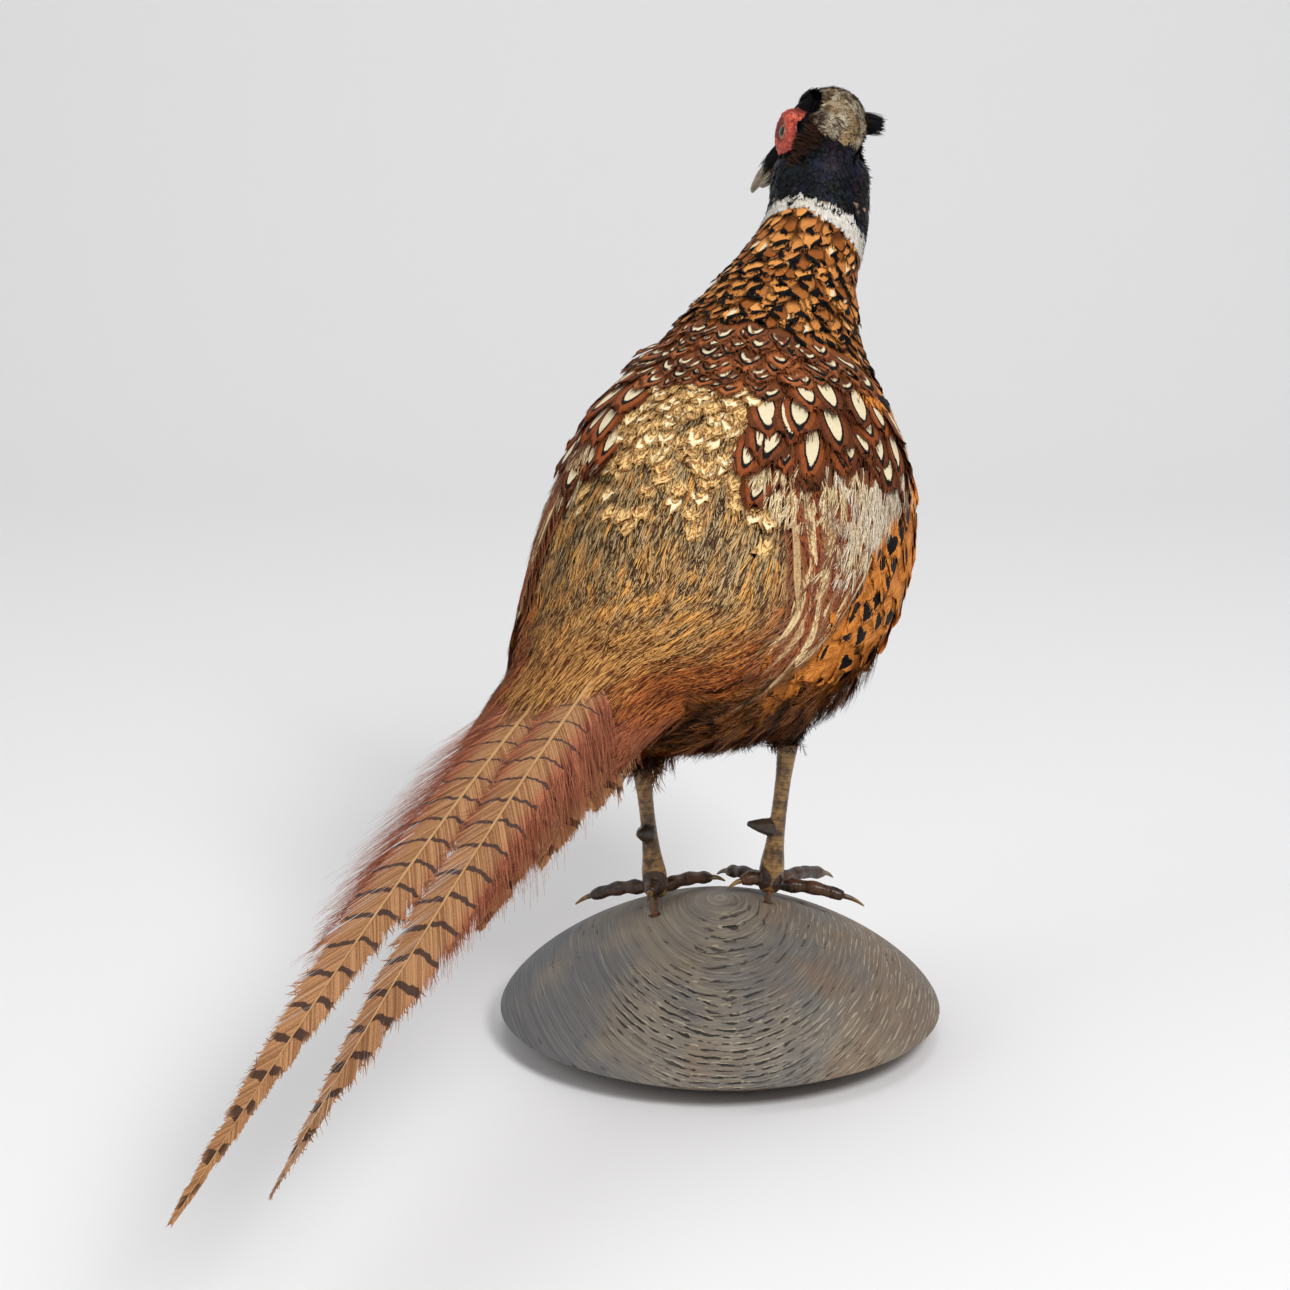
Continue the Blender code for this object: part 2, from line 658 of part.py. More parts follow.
def make_tail_feather(name, root_x, drop, tip_x, tip_y, tip_z, half_width, rows):
    root = Vector((root_x, TAIL_ROOT_Y, TAIL_ROOT_Z - drop))
    tip = Vector((tip_x, tip_y, tip_z))
    along = (tip - root).normalized()
    side = Vector((0, 0, 1)).cross(along).normalized()
    up = along.cross(side)
    bow = TAIL_BOW * (tip - root).length
    upper, lower = [], []
    for r in range(rows + 1):
        part = r / rows
        middle = root.lerp(tip, part) + up * bow * math.sin(math.pi * part)
        width = vane_width(part, half_width)
        top, under = [], []
        for c in range(FEATHER_COLUMNS + 1):
            across = 2 * c / FEATHER_COLUMNS - 1
            fall = FEATHER_ARCH * width * across ** 2
            rise = (FEATHER_SHAFT - FEATHER_EDGE) * (1 - abs(across)) * (1 - part)
            thickness = FEATHER_EDGE + rise
            spot = middle + side * width * across - up * fall
            top.append(spot + up * thickness / 2)
            under.append(spot - up * thickness / 2)
        upper.append(top)
        lower.append(under)
    slab(name, upper, lower, "tail_vane")


def make_undertail():
    """The coverts below the tail, a flat tapering pad."""
    rings = []
    for i in range(UNDERTAIL_RINGS + 1):
        row = i / UNDERTAIL_RINGS * (len(UNDERTAIL_LINES) - 1)
        ahead, top, bottom, half_width = interpolate(UNDERTAIL_LINES, row)
        middle = TAIL_ROOT_Z + (top + bottom) / 2
        ring = []
        for k in range(UNDERTAIL_SEGMENTS):
            turn = -math.tau * k / UNDERTAIL_SEGMENTS
            ring.append(Vector((TAIL_CENTRE_X + half_width * math.sin(turn),
                                TAIL_ROOT_Y + ahead,
                                middle + (top - bottom) / 2 * math.cos(turn))))
        rings.append(ring)
    loft("undertail", rings, "plumage")


def clear_scene():
    for old in list(bpy.data.objects):
        bpy.data.objects.remove(old, do_unlink=True)


def build():
    clear_scene()
    dome = make_dome()
    make_neck(make_head())
    make_trunk()
    for side_name, side in (("left", 1), ("right", -1)):
        make_wing("wing_" + side_name, side)
    trunk_cutter = loft("trunk_fit", body_rings(NECK_END, RUMP_END, GAP), "plumage")
    for index, side_name in enumerate(("left", "right")):
        tarsus = make_leg(index, side_name, trunk_cutter)
        make_mount_wire(index, side_name, dome, tarsus)
    for feather in TAIL_FEATHERS:
        make_tail_feather(*feather)
    make_undertail()


build()
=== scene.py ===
"""Looks of the mounted ring-necked pheasant cock: skin, coat of feathers, legs, tail and dome.

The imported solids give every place. The skin is one remeshed form inside them, and the feathers
lie on it in rows from head to tail. A place on the body is a station along it (0 inside the head,
11 at the root of the tail) and an angle round it (0 on the back line, positive to the left).
Lengths are millimetres until a mesh is written.
"""
import math

import bmesh
import bpy
import numpy as np
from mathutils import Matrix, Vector, noise
from mathutils.bvhtree import BVHTree
from mathutils.kdtree import KDTree


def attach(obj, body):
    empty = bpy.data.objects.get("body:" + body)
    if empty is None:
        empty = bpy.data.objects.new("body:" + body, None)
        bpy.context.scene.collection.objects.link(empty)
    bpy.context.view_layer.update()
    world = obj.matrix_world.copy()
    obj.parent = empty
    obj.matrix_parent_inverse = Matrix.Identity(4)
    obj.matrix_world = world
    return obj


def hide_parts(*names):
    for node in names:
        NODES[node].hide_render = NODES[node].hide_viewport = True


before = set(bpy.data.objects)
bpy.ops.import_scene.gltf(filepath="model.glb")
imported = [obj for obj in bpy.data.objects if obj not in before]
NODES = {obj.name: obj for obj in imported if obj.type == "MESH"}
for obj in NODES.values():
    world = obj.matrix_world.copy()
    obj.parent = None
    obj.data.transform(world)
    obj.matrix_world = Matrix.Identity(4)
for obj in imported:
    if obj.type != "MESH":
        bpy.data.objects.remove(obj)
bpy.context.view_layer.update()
MM = 0.001
SIDES = (("left", 1), ("right", -1))
rng = np.random.default_rng(7)

# Sections of the body, as the part has them: back y, z; belly y, z; middle x; half width.
BODY_LINES = (
    (-82, 405, -110, 402, -5, 13),
    (-73, 394, -119, 388, -4, 22.5),
    (-71, 375, -120, 357, -3, 25),
    (-50, 353, -110, 331, 3, 32),
    (-27, 331, -104, 303, 8, 45),
    (2, 311, -118, 266, 8, 61),
    (33, 291, -123, 220, 7, 75),
    (59, 262, -93, 176, 7, 80),
    (80, 234, -39, 154, 7, 77),
    (96, 220, 28, 151, 8, 63),
    (108, 211, 74, 160, 9, 50),
    (118, 202, 98, 177, 10, 34),
    (138, 197, 130, 173, 10, 33),      # over the roots of the tail
)
BEYOND_STATIONS = 4        # each 20 mm long, in the direction of the tail
TAIL_WAY = (-0.093, 0.953, -0.289)
HEAD_CENTRE = (-4.8, -97.5, 407.5)
HEAD_TURN, HEAD_PITCH, HEAD_ROLL = 70.0, 31.0, 20.0

# Skin
JOINING = 1.0              # the solids swell by this, so that they run together
VOXEL = 2.2
COAT_DEPTH = 3.2           # skin below the solids on the body
HEAD_COAT_DEPTH = 1.4
HOCK_COAT_DEPTH = 1.5
HEAD_REACH = (25, 70)      # the coat deepens between these distances from the head's centre
HOCK_REACH = (12, 40)      # and between these from a hock
# painted shade: the skin under the coat is darker than the coat over it
SKIN_SHADE = 0.7           # the skin is this much darker than the coat over it
HOCKS = ((37, 8, 131), (-21.5, -27, 139))
FLESH = ("head", "neck", "trunk", "rump", "undertail", "wing_left", "wing_right",
         "thigh_left", "thigh_right")

# Boundaries of the markings on the body. Wing: station, upper edge, lower edge in degrees.
WING_UPPER = ((4.65, 42), (5.2, 24), (6.1, 28), (6.9, 44), (7.35, 48), (8.35, 56), (9.6, 80),
              (10.3, 106))
WING_LOWER = ((4.7, 86), (5.2, 100), (5.65, 98), (6.05, 82), (6.5, 74), (7.05, 68), (7.85, 68),
              (8.65, 80), (9.3, 90), (9.95, 98))
# Collar: angle, upper edge, lower edge in stations.
COLLAR = ((-180, 2.6, 2.95), (-90, 2.0, 2.32), (-50, 1.72, 2.03), (-8, 1.54, 1.78),
          (30, 1.67, 1.94), (90, 2.14, 2.44), (180, 2.6, 2.95))
BELLY_EDGE = ((3.8, 6, 7.5, 9, 10.5), (181, 181, 160, 148, 152))     # stations, degrees
MANTLE_START = 3.85
BACK_START = 4.95
# Rows of long wing feathers, maroon and cream: how many, how far they reach, height, width.
FLIGHT_ROWS = ((15, 1.0, 0.3, 8.0), (12, 0.8, 0.8, 7.0), (7, 0.92, 3.3, 3.4), (6, 0.7, 3.1, 3.4))
STREAK_ROWS = ((7, 1.0, 3.2, 3.4), (5, 0.86, 3.0, 3.4), (5, 0.66, 3.0, 3.4), (4, 0.48, 3.0, 3.4))

# Feathers
PATCH = 0.003              # size of one tuft on the coat's map
RING_STEPS = 144           # steps in which the form's girth is measured
JITTER = 0.16              # how far a root leaves its place in the row, in its spacings
# Shapes of feathers: quill's width, place of full width, start of the blunt tip; see outline().
COPPER_SHAPE = (0.45, 0.3, 0.78)
WING_SHAPE = (0.5, 0.25, 0.8)
ROW_STRAY = 0.3            # how far a wing feather leaves its place in the row, in its spacings
# The four corners of a loose barb at a vane's edge: half thickness, and 1 at its far end.
BARB_THICK = np.array([0.28, -0.28, -0.06, 0.06])
BARB_FAR = np.array([0, 0, 1, 1])

# Tail: inner and outer half width and loose fringe of each kind of feather.
TAIL_VANES = {"central": (12, 16, 17), "second": (10, 11, 7), "third": (9, 10, 6),
              "outer": (8, 9, 5)}
NARROWING = {"tail_central_left": 0.62, "tail_central_right": 0.9}
TWISTS = {"tail_central_left": 55.0, "tail_central_right": -40.0}
TAIL_START = 8.0           # the vanes begin this far from the root of the shaft
TIP_SPARE = 4.0            # barbs pass the shaft's tip by no more than this
CLUMP = 9                  # this many barbs stay together
BARB_SPACING = 0.8
FRINGE_SPACING = 0.3
FRINGE_END = 0.56          # share of the feather that has a loose fringe
INNER_FRINGE = 4.0
SHAFT_WIDTH = 1.4
VANE_DROOP = 0.006         # fall of a vane's edge, per square millimetre across
BAR_SPACING = (12.6, 22.0)      # at the root and at the tip
BAR_SAG = 0.034

# Head
EYE_RADIUS = 6.2
EYE_DEPTH = 1.6            # the eye sits this much deeper than its solid
EYE_AHEAD, EYE_UP = 0.16, 0.03      # how far the eye's look turns from straight aside
LID_OUT = 4.0              # the lid's distance from the middle of the eye
LID_SIZE = (5.2, 1.9)      # its radius and its thickness
GAPE_CORNER = (33.5, 4.2, -3.4)     # forward, sideways and up
GAPE_RADIUS = 1.7
HORN_SWELL = 0.15          # makes up for what rounding takes off bill and claws
# The rear fold of the wattle: its centre and size ahead and upwards, and its thickness.
FOLD_CENTRE = (-4.5, 4.5)
FOLD_SIZE = (8.5, 5.0)
FOLD_HEIGHT = 2.8
HEAD_RADIUS = 26.0         # its coat reaches this far from the centre
HEAD_DROP = 20.0           # and this far below it
FACE_END = 19.0            # the bill begins this far ahead of the centre
BILL_ROOT = 24.0           # feathers lie away from a place this far ahead
FALL = (0, 0, -0.35)       # and bend down as much as this
CROWN_WAY = (-0.80, 0.16, 0.50)     # from the head's centre to the middle of the grey patch
CROWN_EDGE = 0.36          # cosine of the patch's half angle
# Bristles of the head: how many in a bundle, thickness and stray; and how many bundles.
TUFT_BRISTLES = (420, 0.55, 0.5)
CHEEK_BUNDLES, CHEEK_BRISTLES = 110, (11, 0.4, 0.6)
THROAT_BUNDLES, THROAT_BRISTLES = 90, (18, 0.36, 0.6)
# Ear tufts: root and tip as forward, sideways, up, then radii at both ends.
TUFTS = (
    ((-5.0, 13.5, 7.0), (-18.0, 18.0, 5.0), (3.4, 3.8)),
    ((-9.0, 10.0, 5.0), (-18.5, 20.5, -0.5), (2.6, 4.8)),
)

# Loose hair below: where it grows on a thigh, as shares of its length and distances from its
# middle line, and where it grows on the vent.
THIGH_START = 0.45
THIGH_REACH = (26, 10)
VENT_SPAN = (-26, 92)
VENT_LEFT = 52

# Legs
TOES = ("inner", "middle", "outer", "hind")
LEG_VOXEL = 0.6
LEG_SWELL = 0.6
SHANK_SCALE = 3.1          # length of one scale
TOE_SCALE = 1.9
SCALE_HEIGHT = 0.16
KNUCKLE_PITCH = 11.0       # length of one joint of a toe
KNUCKLE_HEIGHT = 0.4
SPUR_STRETCH = 1.3         # so that a spur's base grows out of the shank
SHANK_SHYNESS = 1.2        # the shank counts as this much farther off than toes and spur
SHANK_KIND, TOE_KIND, SPUR_KIND = 0, 1, 2

# Dome, shaped as the part has it, with the heart of its wood above it
DOME_RADIUS = 102.5
DOME_FOOT_RADIUS = 76.0
DOME_RIM_HEIGHT = 12.0
DOME_RISE = 52.0
DOME_ROUNDNESS = 1.6
DOME_FULLNESS = 0.7
DOME_UNDERCUT = 1.15
DOME_EDGE_RINGS = 14
DOME_RINGS = 140
DOME_SEGMENTS = 560
WIRE_HOLES = ((24, 20), (-18.5, -12.5))
WIRE_HOLE_RADIUS = 3.4
WIRE_HOLE_SLOPE = 1.2      # width of the hole's wall
HEART_HEIGHT = 124.0
GRAIN_ACROSS = (0.8988, 0.4384)
GRAIN_PITCH = 3.3
FINE_PITCH = 2.3
GROOVE_DEPTH = 0.8

# Stage, in metres
AWAY = Vector((0.4384, -0.8988, 0))     # level way from the camera to the model
CAMERA_PLACE = (-0.5459, 1.1990, 0.528)
CAMERA_DOWN = math.radians(14.6)
LENS = 83.72
BEND_START, BEND_RADIUS = 1.2, 0.8      # the floor's bend up into the backdrop
LAMP_AIM = Vector((0, 0, 0.2))
LAMPS = (("key", (-1.5, 1.1, 1.9), 0.8, 43), ("fill", (1.4, 1.8, 1.4), 1.6, 12.5),
         ("top", (0.2, -0.5, 2.4), 1.4, 14))
SKY_STRENGTH = 0.33


def linear(red, green, blue):
    """A colour given as 0-255 screen values."""
    srgb = np.array([red, green, blue], float) / 255
    low = srgb / 12.92
    high = ((srgb + 0.055) / 1.055) ** 2.4
    return tuple(float(v) for v in np.where(srgb <= 0.04045, low, high)) + (1.0,)


# Materials ------------------------------------------------------------------------------------

class Value:
    """An output of a node, with arithmetic that adds the nodes it needs."""

    def __init__(self, look, socket):
        self.look = look
        self.socket = socket

    def __add__(self, other):
        return self.look.math("ADD", self, other)

    def __sub__(self, other):
        return self.look.math("SUBTRACT", self, other)

    def __rsub__(self, other):
        return self.look.math("SUBTRACT", other, self)

    def __mul__(self, other):
        return self.look.math("MULTIPLY", self, other)

    def __pow__(self, other):
        return self.look.math("POWER", self, other)

    def __abs__(self):
        return self.look.math("ABSOLUTE", self, 0.0)

    __radd__ = __add__
    __rmul__ = __mul__


class Look:
    """A material written with short calls, each of which returns the Value it makes."""

    def __init__(self, name, **sockets):
        self.made = bpy.data.materials.new(name)
        self.made.use_nodes = True
        self.tree = self.made.node_tree
        self.shader = self.tree.nodes["Principled BSDF"]
        for name, value in sockets.items():
            socket = name.replace("_", " ").title().replace("Ior", "IOR")
            self.shader.inputs[socket].default_value = value

    def feed(self, socket, value):
        if isinstance(value, Value):
            self.tree.links.new(value.socket, socket)
        else:
            socket.default_value = value

    def node(self, kind, inputs=(), output=0, **settings):
        made = self.tree.nodes.new("ShaderNode" + kind)
        for key, value in settings.items():
            setattr(made, key, value)
        for key, value in dict(inputs).items():
            self.feed(made.inputs[key], value)
        return Value(self, made.outputs[output])

    def math(self, operation, first, second=0.0):
        return self.node("Math", {0: first, 1: second}, operation=operation)

    def step(self, value, low, high):
        """0 below low, 1 above high, smooth between; low may be the larger."""
        inputs = {"Value": value, "From Min": low, "From Max": high}
        return self.node("MapRange", inputs, interpolation_type="SMOOTHSTEP")

    def mix(self, factor, first, second):
        """A colour between two, each a Value or three screen values."""
        first, second = (linear(*v) if isinstance(v, tuple) else v for v in (first, second))
        return self.node("Mix", {0: factor, 6: first, 7: second}, 2, data_type="RGBA")

    def fade(self, value, low, high, first, second):
        """The first colour where the value is below low, and the second above high."""
        return self.mix(self.step(value, low, high), first, second)

    def vector(self, x, y=0.0, z=0.0):
        return self.node("CombineXYZ", {0: x, 1: y, 2: z})

    def parts(self, vector):
        made = self.tree.nodes.new("ShaderNodeSeparateXYZ")
        self.feed(made.inputs[0], vector)
        return [Value(self, output) for output in made.outputs]

    def noise(self, vector, scale, detail=3.0):
        return self.node("TexNoise", {"Vector": vector, "Scale": scale, "Detail": detail})

    def vane(self):
        """Across (-1 to 1) and along (0 to 1) one feather, and its own random number."""
        across, along, _ = self.parts(self.node("UVMap", uv_map="Vane"))
        return across, along, self.root()[0]

    def root(self):
        """One feather's random number, and the station and turn of its root."""
        return self.parts(self.node("Attribute", output=1, attribute_name="Root"))

    def place(self):
        return self.node("TexCoord", output=3)

    def colour(self, value):
        self.feed(self.shader.inputs["Base Color"], value)

    def bump(self, height, distance, strength=1.0):
        """Relief, its full depth in millimetres."""
        inputs = {"Height": height, "Distance": distance * MM, "Strength": strength}
        self.feed(self.shader.inputs["Normal"], self.node("Bump", inputs))


def barb_streaks(look, across, along, lot, fineness=14.0):
    """Fine streaks that run outwards and towards the tip, as barbs do."""
    slant = along * 3.0 - abs(across) * 0.9
    return look.noise(look.vector(slant * fineness, across * 1.2, lot * 37.0), 1.0, 2.0)


def feather_look(name, paint, relief=0.25, fineness=14.0, roughness=0.65, gloss=0.12):
    """A feather's finish; paint turns across, along, lot and streaks into a colour."""
    look = Look(name, roughness=roughness, specular_ior_level=gloss)
    across, along, lot = look.vane()
    streaks = barb_streaks(look, across, along, lot, fineness)
    look.colour(paint(look, across, along, lot, streaks))
    look.bump(streaks, relief)
    return look.made


def darker(colour, share):
    return tuple(value * share for value in colour)


def paint_ringed(border, ring, core, edges, dark=(16, 12, 12), varied=0.0, broken=0.0,
                 slim=1.0, tall=1.75, opened=0.0):
    """Nested bands that follow the tip: border, thin dark line, pale ring and a core.

    Varied moves the bands from feather to feather; broken is the share of the ring that is lost;
    slim and tall squeeze the bands across and along; opened is where they fade to the root.
    """

    def paint(look, across, along, lot, streaks):
        line, pale, middle = edges
        deep = (along - 0.42) * tall
        wide = across * slim
        reach = (wide * wide + deep * deep) ** 0.5 + (streaks - 0.5) * 0.1
        reach = reach + (lot - 0.5) * varied * 0.3
        rim = look.fade(streaks * 0.6 + lot * 0.4, 0.3, 0.7, darker(border, 0.62), border)
        rim = look.mix(look.step(reach, 1.0, 1.12) * 0.6, rim, darker(border, 0.4))
        tone = look.fade(reach, line, line - 0.04, rim, dark)
        light = look.mix(streaks, darker(ring, 0.85), ring)
        gaps = look.noise(look.vector(across * 1.3, along * 3.0, lot * 91.0), 1.0, 1.0)
        light = look.fade(gaps, 0.25 + broken * 0.5, 0.15 + broken * 0.5, light, core)
        tone = look.fade(reach, pale, pale - 0.04, tone, light)
        tone = look.fade(reach, middle, middle - 0.06, tone, look.mix(streaks, dark, core))
        return look.fade(along, opened + 0.12, opened, tone, rim)
    return paint


# Forms ----------------------------------------------------------------------------------------

def interpolate(rows, at):
    """The row at a fractional row number, on a smooth curve through all the rows."""
    table = np.asarray(rows, float)
    last = len(table) - 1
    at = min(max(at, 0.0), float(last))
    low = min(int(at), last - 1)
    part = at - low
    start, end = table[low], table[low + 1]
    before = table[low - 1] if low > 0 else 2 * start - end
    after = table[low + 2] if low + 2 <= last else 2 * end - start
    return 0.5 * (2 * start + (end - before) * part
                  + (2 * before - 5 * start + 4 * end - after) * part ** 2
                  + (3 * start - before - 3 * end + after) * part ** 3)


def unit(vectors):
    return vectors / np.linalg.norm(vectors, axis=-1, keepdims=True)


class Form:
    """A surface read from a line inside it, by rays that come in from all round."""

    TURNS = 72
    FULLNESS = 0.08
    LEAST_ALONG = 12.0     # millimetres to a station
    LEAST_AROUND = 0.2     # millimetres to a degree
    BRIDGE_START = 8.6     # station from which the form is smoothed towards the tail
    BRIDGE_PASSES = 260

    def __init__(self, tree, centres, ups, sides, spare, last, beyond):
        """Ups and sides reach the surface roughly; a ray starts spare millimetres beyond.

        After the last centre the form goes on straight, one step of beyond for each row.
        """
        self.last = last
        self.steps = len(centres) - 1
        per_step = self.steps / last
        turns = np.arange(self.TURNS) * math.tau / self.TURNS
        sine, cosine = np.sin(turns), np.cos(turns)
        reach = (sides[:, None] * (sine * (1 - self.FULLNESS * cosine))[None, :, None]
                 + ups[:, None] * cosine[None, :, None])
        self.points = centres[:, None] + reach
        outward = unit(reach)
        self.meet(tree, outward, spare)
        more = np.arange(1, BEYOND_STATIONS * int(per_step) + 1)[:, None, None]
        self.points = np.concatenate([self.points, self.points[-1] + more * beyond])
        outward = np.concatenate([outward, np.repeat(outward[-1:], len(more), 0)])
        self.steps += len(more)
        self.last += BEYOND_STATIONS
        self.bridge(int(self.BRIDGE_START * per_step), outward)
        self.measure(outward, per_step)

    def meet(self, tree, outward, spare):
        """Moves each point to where a ray from outside meets the surface."""
        for i in range(self.steps + 1):
            for j in range(self.TURNS):
                start = Vector(self.points[i, j] + outward[i, j] * spare)
                hit = tree.ray_cast(start, Vector(-outward[i, j]), 2.2 * spare)[0]
                if hit is not None:
                    self.points[i, j] = hit

    def measure(self, outward, per_step):
        """The normals, and the millimetres to a station and to a degree."""
        along = np.gradient(self.points, axis=0)
        closed = np.concatenate([self.points[:, -1:], self.points, self.points[:, :1]], 1)
        around = (closed[:, 2:] - closed[:, :-2]) / 2
        normals = np.cross(around, along)
        facing = np.sign((normals * outward).sum(-1, keepdims=True))
        self.normals = unit(normals * np.where(facing == 0, 1, facing) + outward * 1e-6)
        self.along = np.maximum(np.linalg.norm(along, axis=-1) * per_step, self.LEAST_ALONG)
        self.around = np.maximum(np.linalg.norm(around, axis=-1) * self.TURNS / 360,
                                 self.LEAST_AROUND)

    def bridge(self, first, outward):
        """Fills the hollow before the tail, as long hair does; nothing moves inwards."""
        smooth = self.points.copy()
        for _ in range(self.BRIDGE_PASSES):
            smooth[first:-1] = (smooth[first - 1:-2] + smooth[first + 1:]) / 2
        gain = ((smooth - self.points) * outward).sum(-1, keepdims=True)
        self.points = self.points + outward * np.maximum(gain, 0)

    def read(self, table, station, angle):
        """The table's value at stations and angles, between its grid's points."""
        row = np.clip(np.asarray(station, float) / self.last * self.steps, 0, self.steps)
        column = np.asarray(angle, float) / 360 * self.TURNS
        i = np.minimum(row.astype(int), self.steps - 1)
        j = np.floor(column).astype(int)
        p, q = row - i, column - j
        if table.ndim == 3:
            p, q = p[..., None], q[..., None]
        j0, j1 = j % self.TURNS, (j + 1) % self.TURNS
        return ((table[i, j0] * (1 - q) + table[i, j1] * q) * (1 - p)
                + (table[i + 1, j0] * (1 - q) + table[i + 1, j1] * q) * p)

    def at(self, station, angle, lift=0.0):
        lift = np.asarray(lift)[..., None]
        return self.read(self.points, station, angle) + self.read(self.normals, station,
                                                                  angle) * lift

    def chart(self, station, angle):
        """Place on the form's unwrap."""
        return np.stack([(np.asarray(angle) + 180) % 360 / 360, station / self.last], -1)


def head_axes():
    turn, pitch, roll = (math.radians(a) for a in (HEAD_TURN, HEAD_PITCH, HEAD_ROLL))
    forward = Vector((math.sin(turn) * math.cos(pitch), -math.cos(turn) * math.cos(pitch),
                      -math.sin(pitch)))
    level_left = Vector((math.cos(turn), math.sin(turn), 0))
    level_up = forward.cross(level_left)
    left = level_left * math.cos(roll) + level_up * math.sin(roll)
    up = level_up * math.cos(roll) - level_left * math.sin(roll)
    return np.array(forward), np.array(left), np.array(up)


def body_form(tree):
    last = len(BODY_LINES) - 1
    rows = np.array([interpolate(BODY_LINES, s) for s in np.linspace(0, last, last * 10 + 1)])
    backs = np.stack([rows[:, 4], rows[:, 0], rows[:, 1]], -1)
    bellies = np.stack([rows[:, 4], rows[:, 2], rows[:, 3]], -1)
    sides = np.stack([rows[:, 5], np.zeros(len(rows)), np.zeros(len(rows))], -1)
    return Form(tree, (backs + bellies) / 2, (backs - bellies) / 2, sides, 13.0, last,
                np.array(TAIL_WAY) * 2.0)


# Meshes ---------------------------------------------------------------------------------------

def linked(name, data):
    """A new object in the scene."""
    made = bpy.data.objects.new(name, data)
    bpy.context.scene.collection.objects.link(made)
    return made


def corner_values(mesh, field):
    """The corners' places ("co") or normals ("normal") as rows of three."""
    flat = np.zeros(len(mesh.vertices) * 3)
    mesh.vertices.foreach_get(field, flat)
    return flat.reshape(-1, 3)


def positions(mesh):
    return corner_values(mesh, "co") / MM


def move_corners(mesh, points):
    mesh.vertices.foreach_set("co", (points * MM).ravel())
    mesh.update()


def keep_values(mesh, name, values):
    """Writes a number or a vector for each corner, for a material to read."""
    values = np.asarray(values, np.float32)
    kind, field = ("FLOAT", "value") if values.ndim == 1 else ("FLOAT_VECTOR", "vector")
    mesh.attributes.new(name, kind, "POINT").data.foreach_set(field, values.ravel())


def surface_tree(mesh, points):
    """A mesh's faces over the given points, to be met by rays."""
    faces = [list(face.vertices) for face in mesh.polygons]
    return BVHTree.FromPolygons([tuple(point) for point in points], faces)


def piece(mesh, name, look, slot, replaced=()):
    """A finished mesh as a piece that rides on the mount's only body."""
    mesh.materials.clear()
    mesh.materials.append(look)
    mesh.shade_smooth()
    made = linked(name, mesh)
    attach(made, "root")
    if replaced:
        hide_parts(*replaced)
    return made


def new_mesh(name, points, faces):
    """A mesh from points in millimetres and faces of one size."""
    mesh = bpy.data.meshes.new(name)
    points = np.asarray(points, float).reshape(-1, 3) * MM
    mesh.vertices.add(len(points))
    mesh.vertices.foreach_set("co", points.ravel())
    mesh.loops.add(faces.size)
    mesh.loops.foreach_set("vertex_index", faces.ravel())
    mesh.polygons.add(len(faces))
    mesh.polygons.foreach_set("loop_start", np.arange(len(faces)) * faces.shape[1])
    mesh.update(calc_edges=True)
    mesh.validate()
    return mesh


def grid_faces(rows, columns):
    """Quads of one grid of (rows + 1) x (columns + 1) points."""
    r, c = np.meshgrid(np.arange(rows), np.arange(columns), indexing="ij")
    corner = (r * (columns + 1) + c).ravel()
    return np.stack([corner, corner + 1, corner + columns + 2, corner + columns + 1], -1)


def set_uv(mesh, name, values):
    """Writes one map from values given for each vertex."""
    layer = mesh.uv_layers.new(name=name)
    corners = np.zeros(len(mesh.loops), int)
    mesh.loops.foreach_get("vertex_index", corners)
    layer.uv.foreach_set("vector", np.asarray(values, np.float32)[corners].ravel())


class Coat:
    """Feathers or hairs of one finish, gathered into one piece."""

    def __init__(self, name, look, slot="plumage"):
        self.name, self.look, self.slot = name, look, slot
        self.points, self.faces, self.vane, self.home, self.root = [], [], [], [], []
        self.size = 0

    def add(self, points, faces, vane, local, bed):
        """Points and vane are (tufts, points, ...); faces and local belong to any one tuft."""
        count, each = points.shape[:2]
        offsets = self.size + np.arange(count)[:, None, None] * each
        self.points.append(points.reshape(-1, 3))
        self.faces.append((faces[None] + offsets).reshape(-1, faces.shape[1]))
        self.vane.append(np.broadcast_to(vane, (count, each, 2)).reshape(-1, 2))
        home = 0.01 + 0.98 * bed.home[:, None] + np.broadcast_to(local, (count, each, 2)) * PATCH
        self.home.append(home.reshape(-1, 2))
        self.root.append(np.repeat(bed.root, each, 0))
        self.size += count * each

    def finish(self, replaced=()):
        mesh = new_mesh(self.name, np.concatenate(self.points), np.concatenate(self.faces))
        set_uv(mesh, "Vane", np.concatenate(self.vane))
        set_uv(mesh, "OFBake", np.concatenate(self.home))
        keep_values(mesh, "Root", np.concatenate(self.root))
        piece(mesh, self.name, self.look, self.slot, replaced)


# Beds: where feathers are rooted and how they lie ---------------------------------------------

class FormBed:
    """Roots on a form at stations and angles; feathers follow it towards the tail."""

    WANDER = 6.0

    def __init__(self, form, stations, angles, heading=0.0):
        self.form, self.s, self.a = form, stations, angles
        self.count = len(stations)
        self.heading = heading + rng.normal(0, self.WANDER, self.count)
        self.home = form.chart(stations, angles)
        self.root = np.stack([rng.random(self.count), stations, abs(wrapped(angles))], -1)

    def place(self, x, y, lift):
        """Points x along, y across and lift above the form; all (tufts, points)."""
        turn = np.radians(self.heading)[:, None]
        per_station = self.form.read(self.form.along, self.s, self.a)[:, None]
        per_degree = self.form.read(self.form.around, self.s, self.a)[:, None]
        station = self.s[:, None] + (x * np.cos(turn) - y * np.sin(turn)) / per_station
        angle = self.a[:, None] + (x * np.sin(turn) + y * np.cos(turn)) / per_degree
        return self.form.at(station, angle, lift)


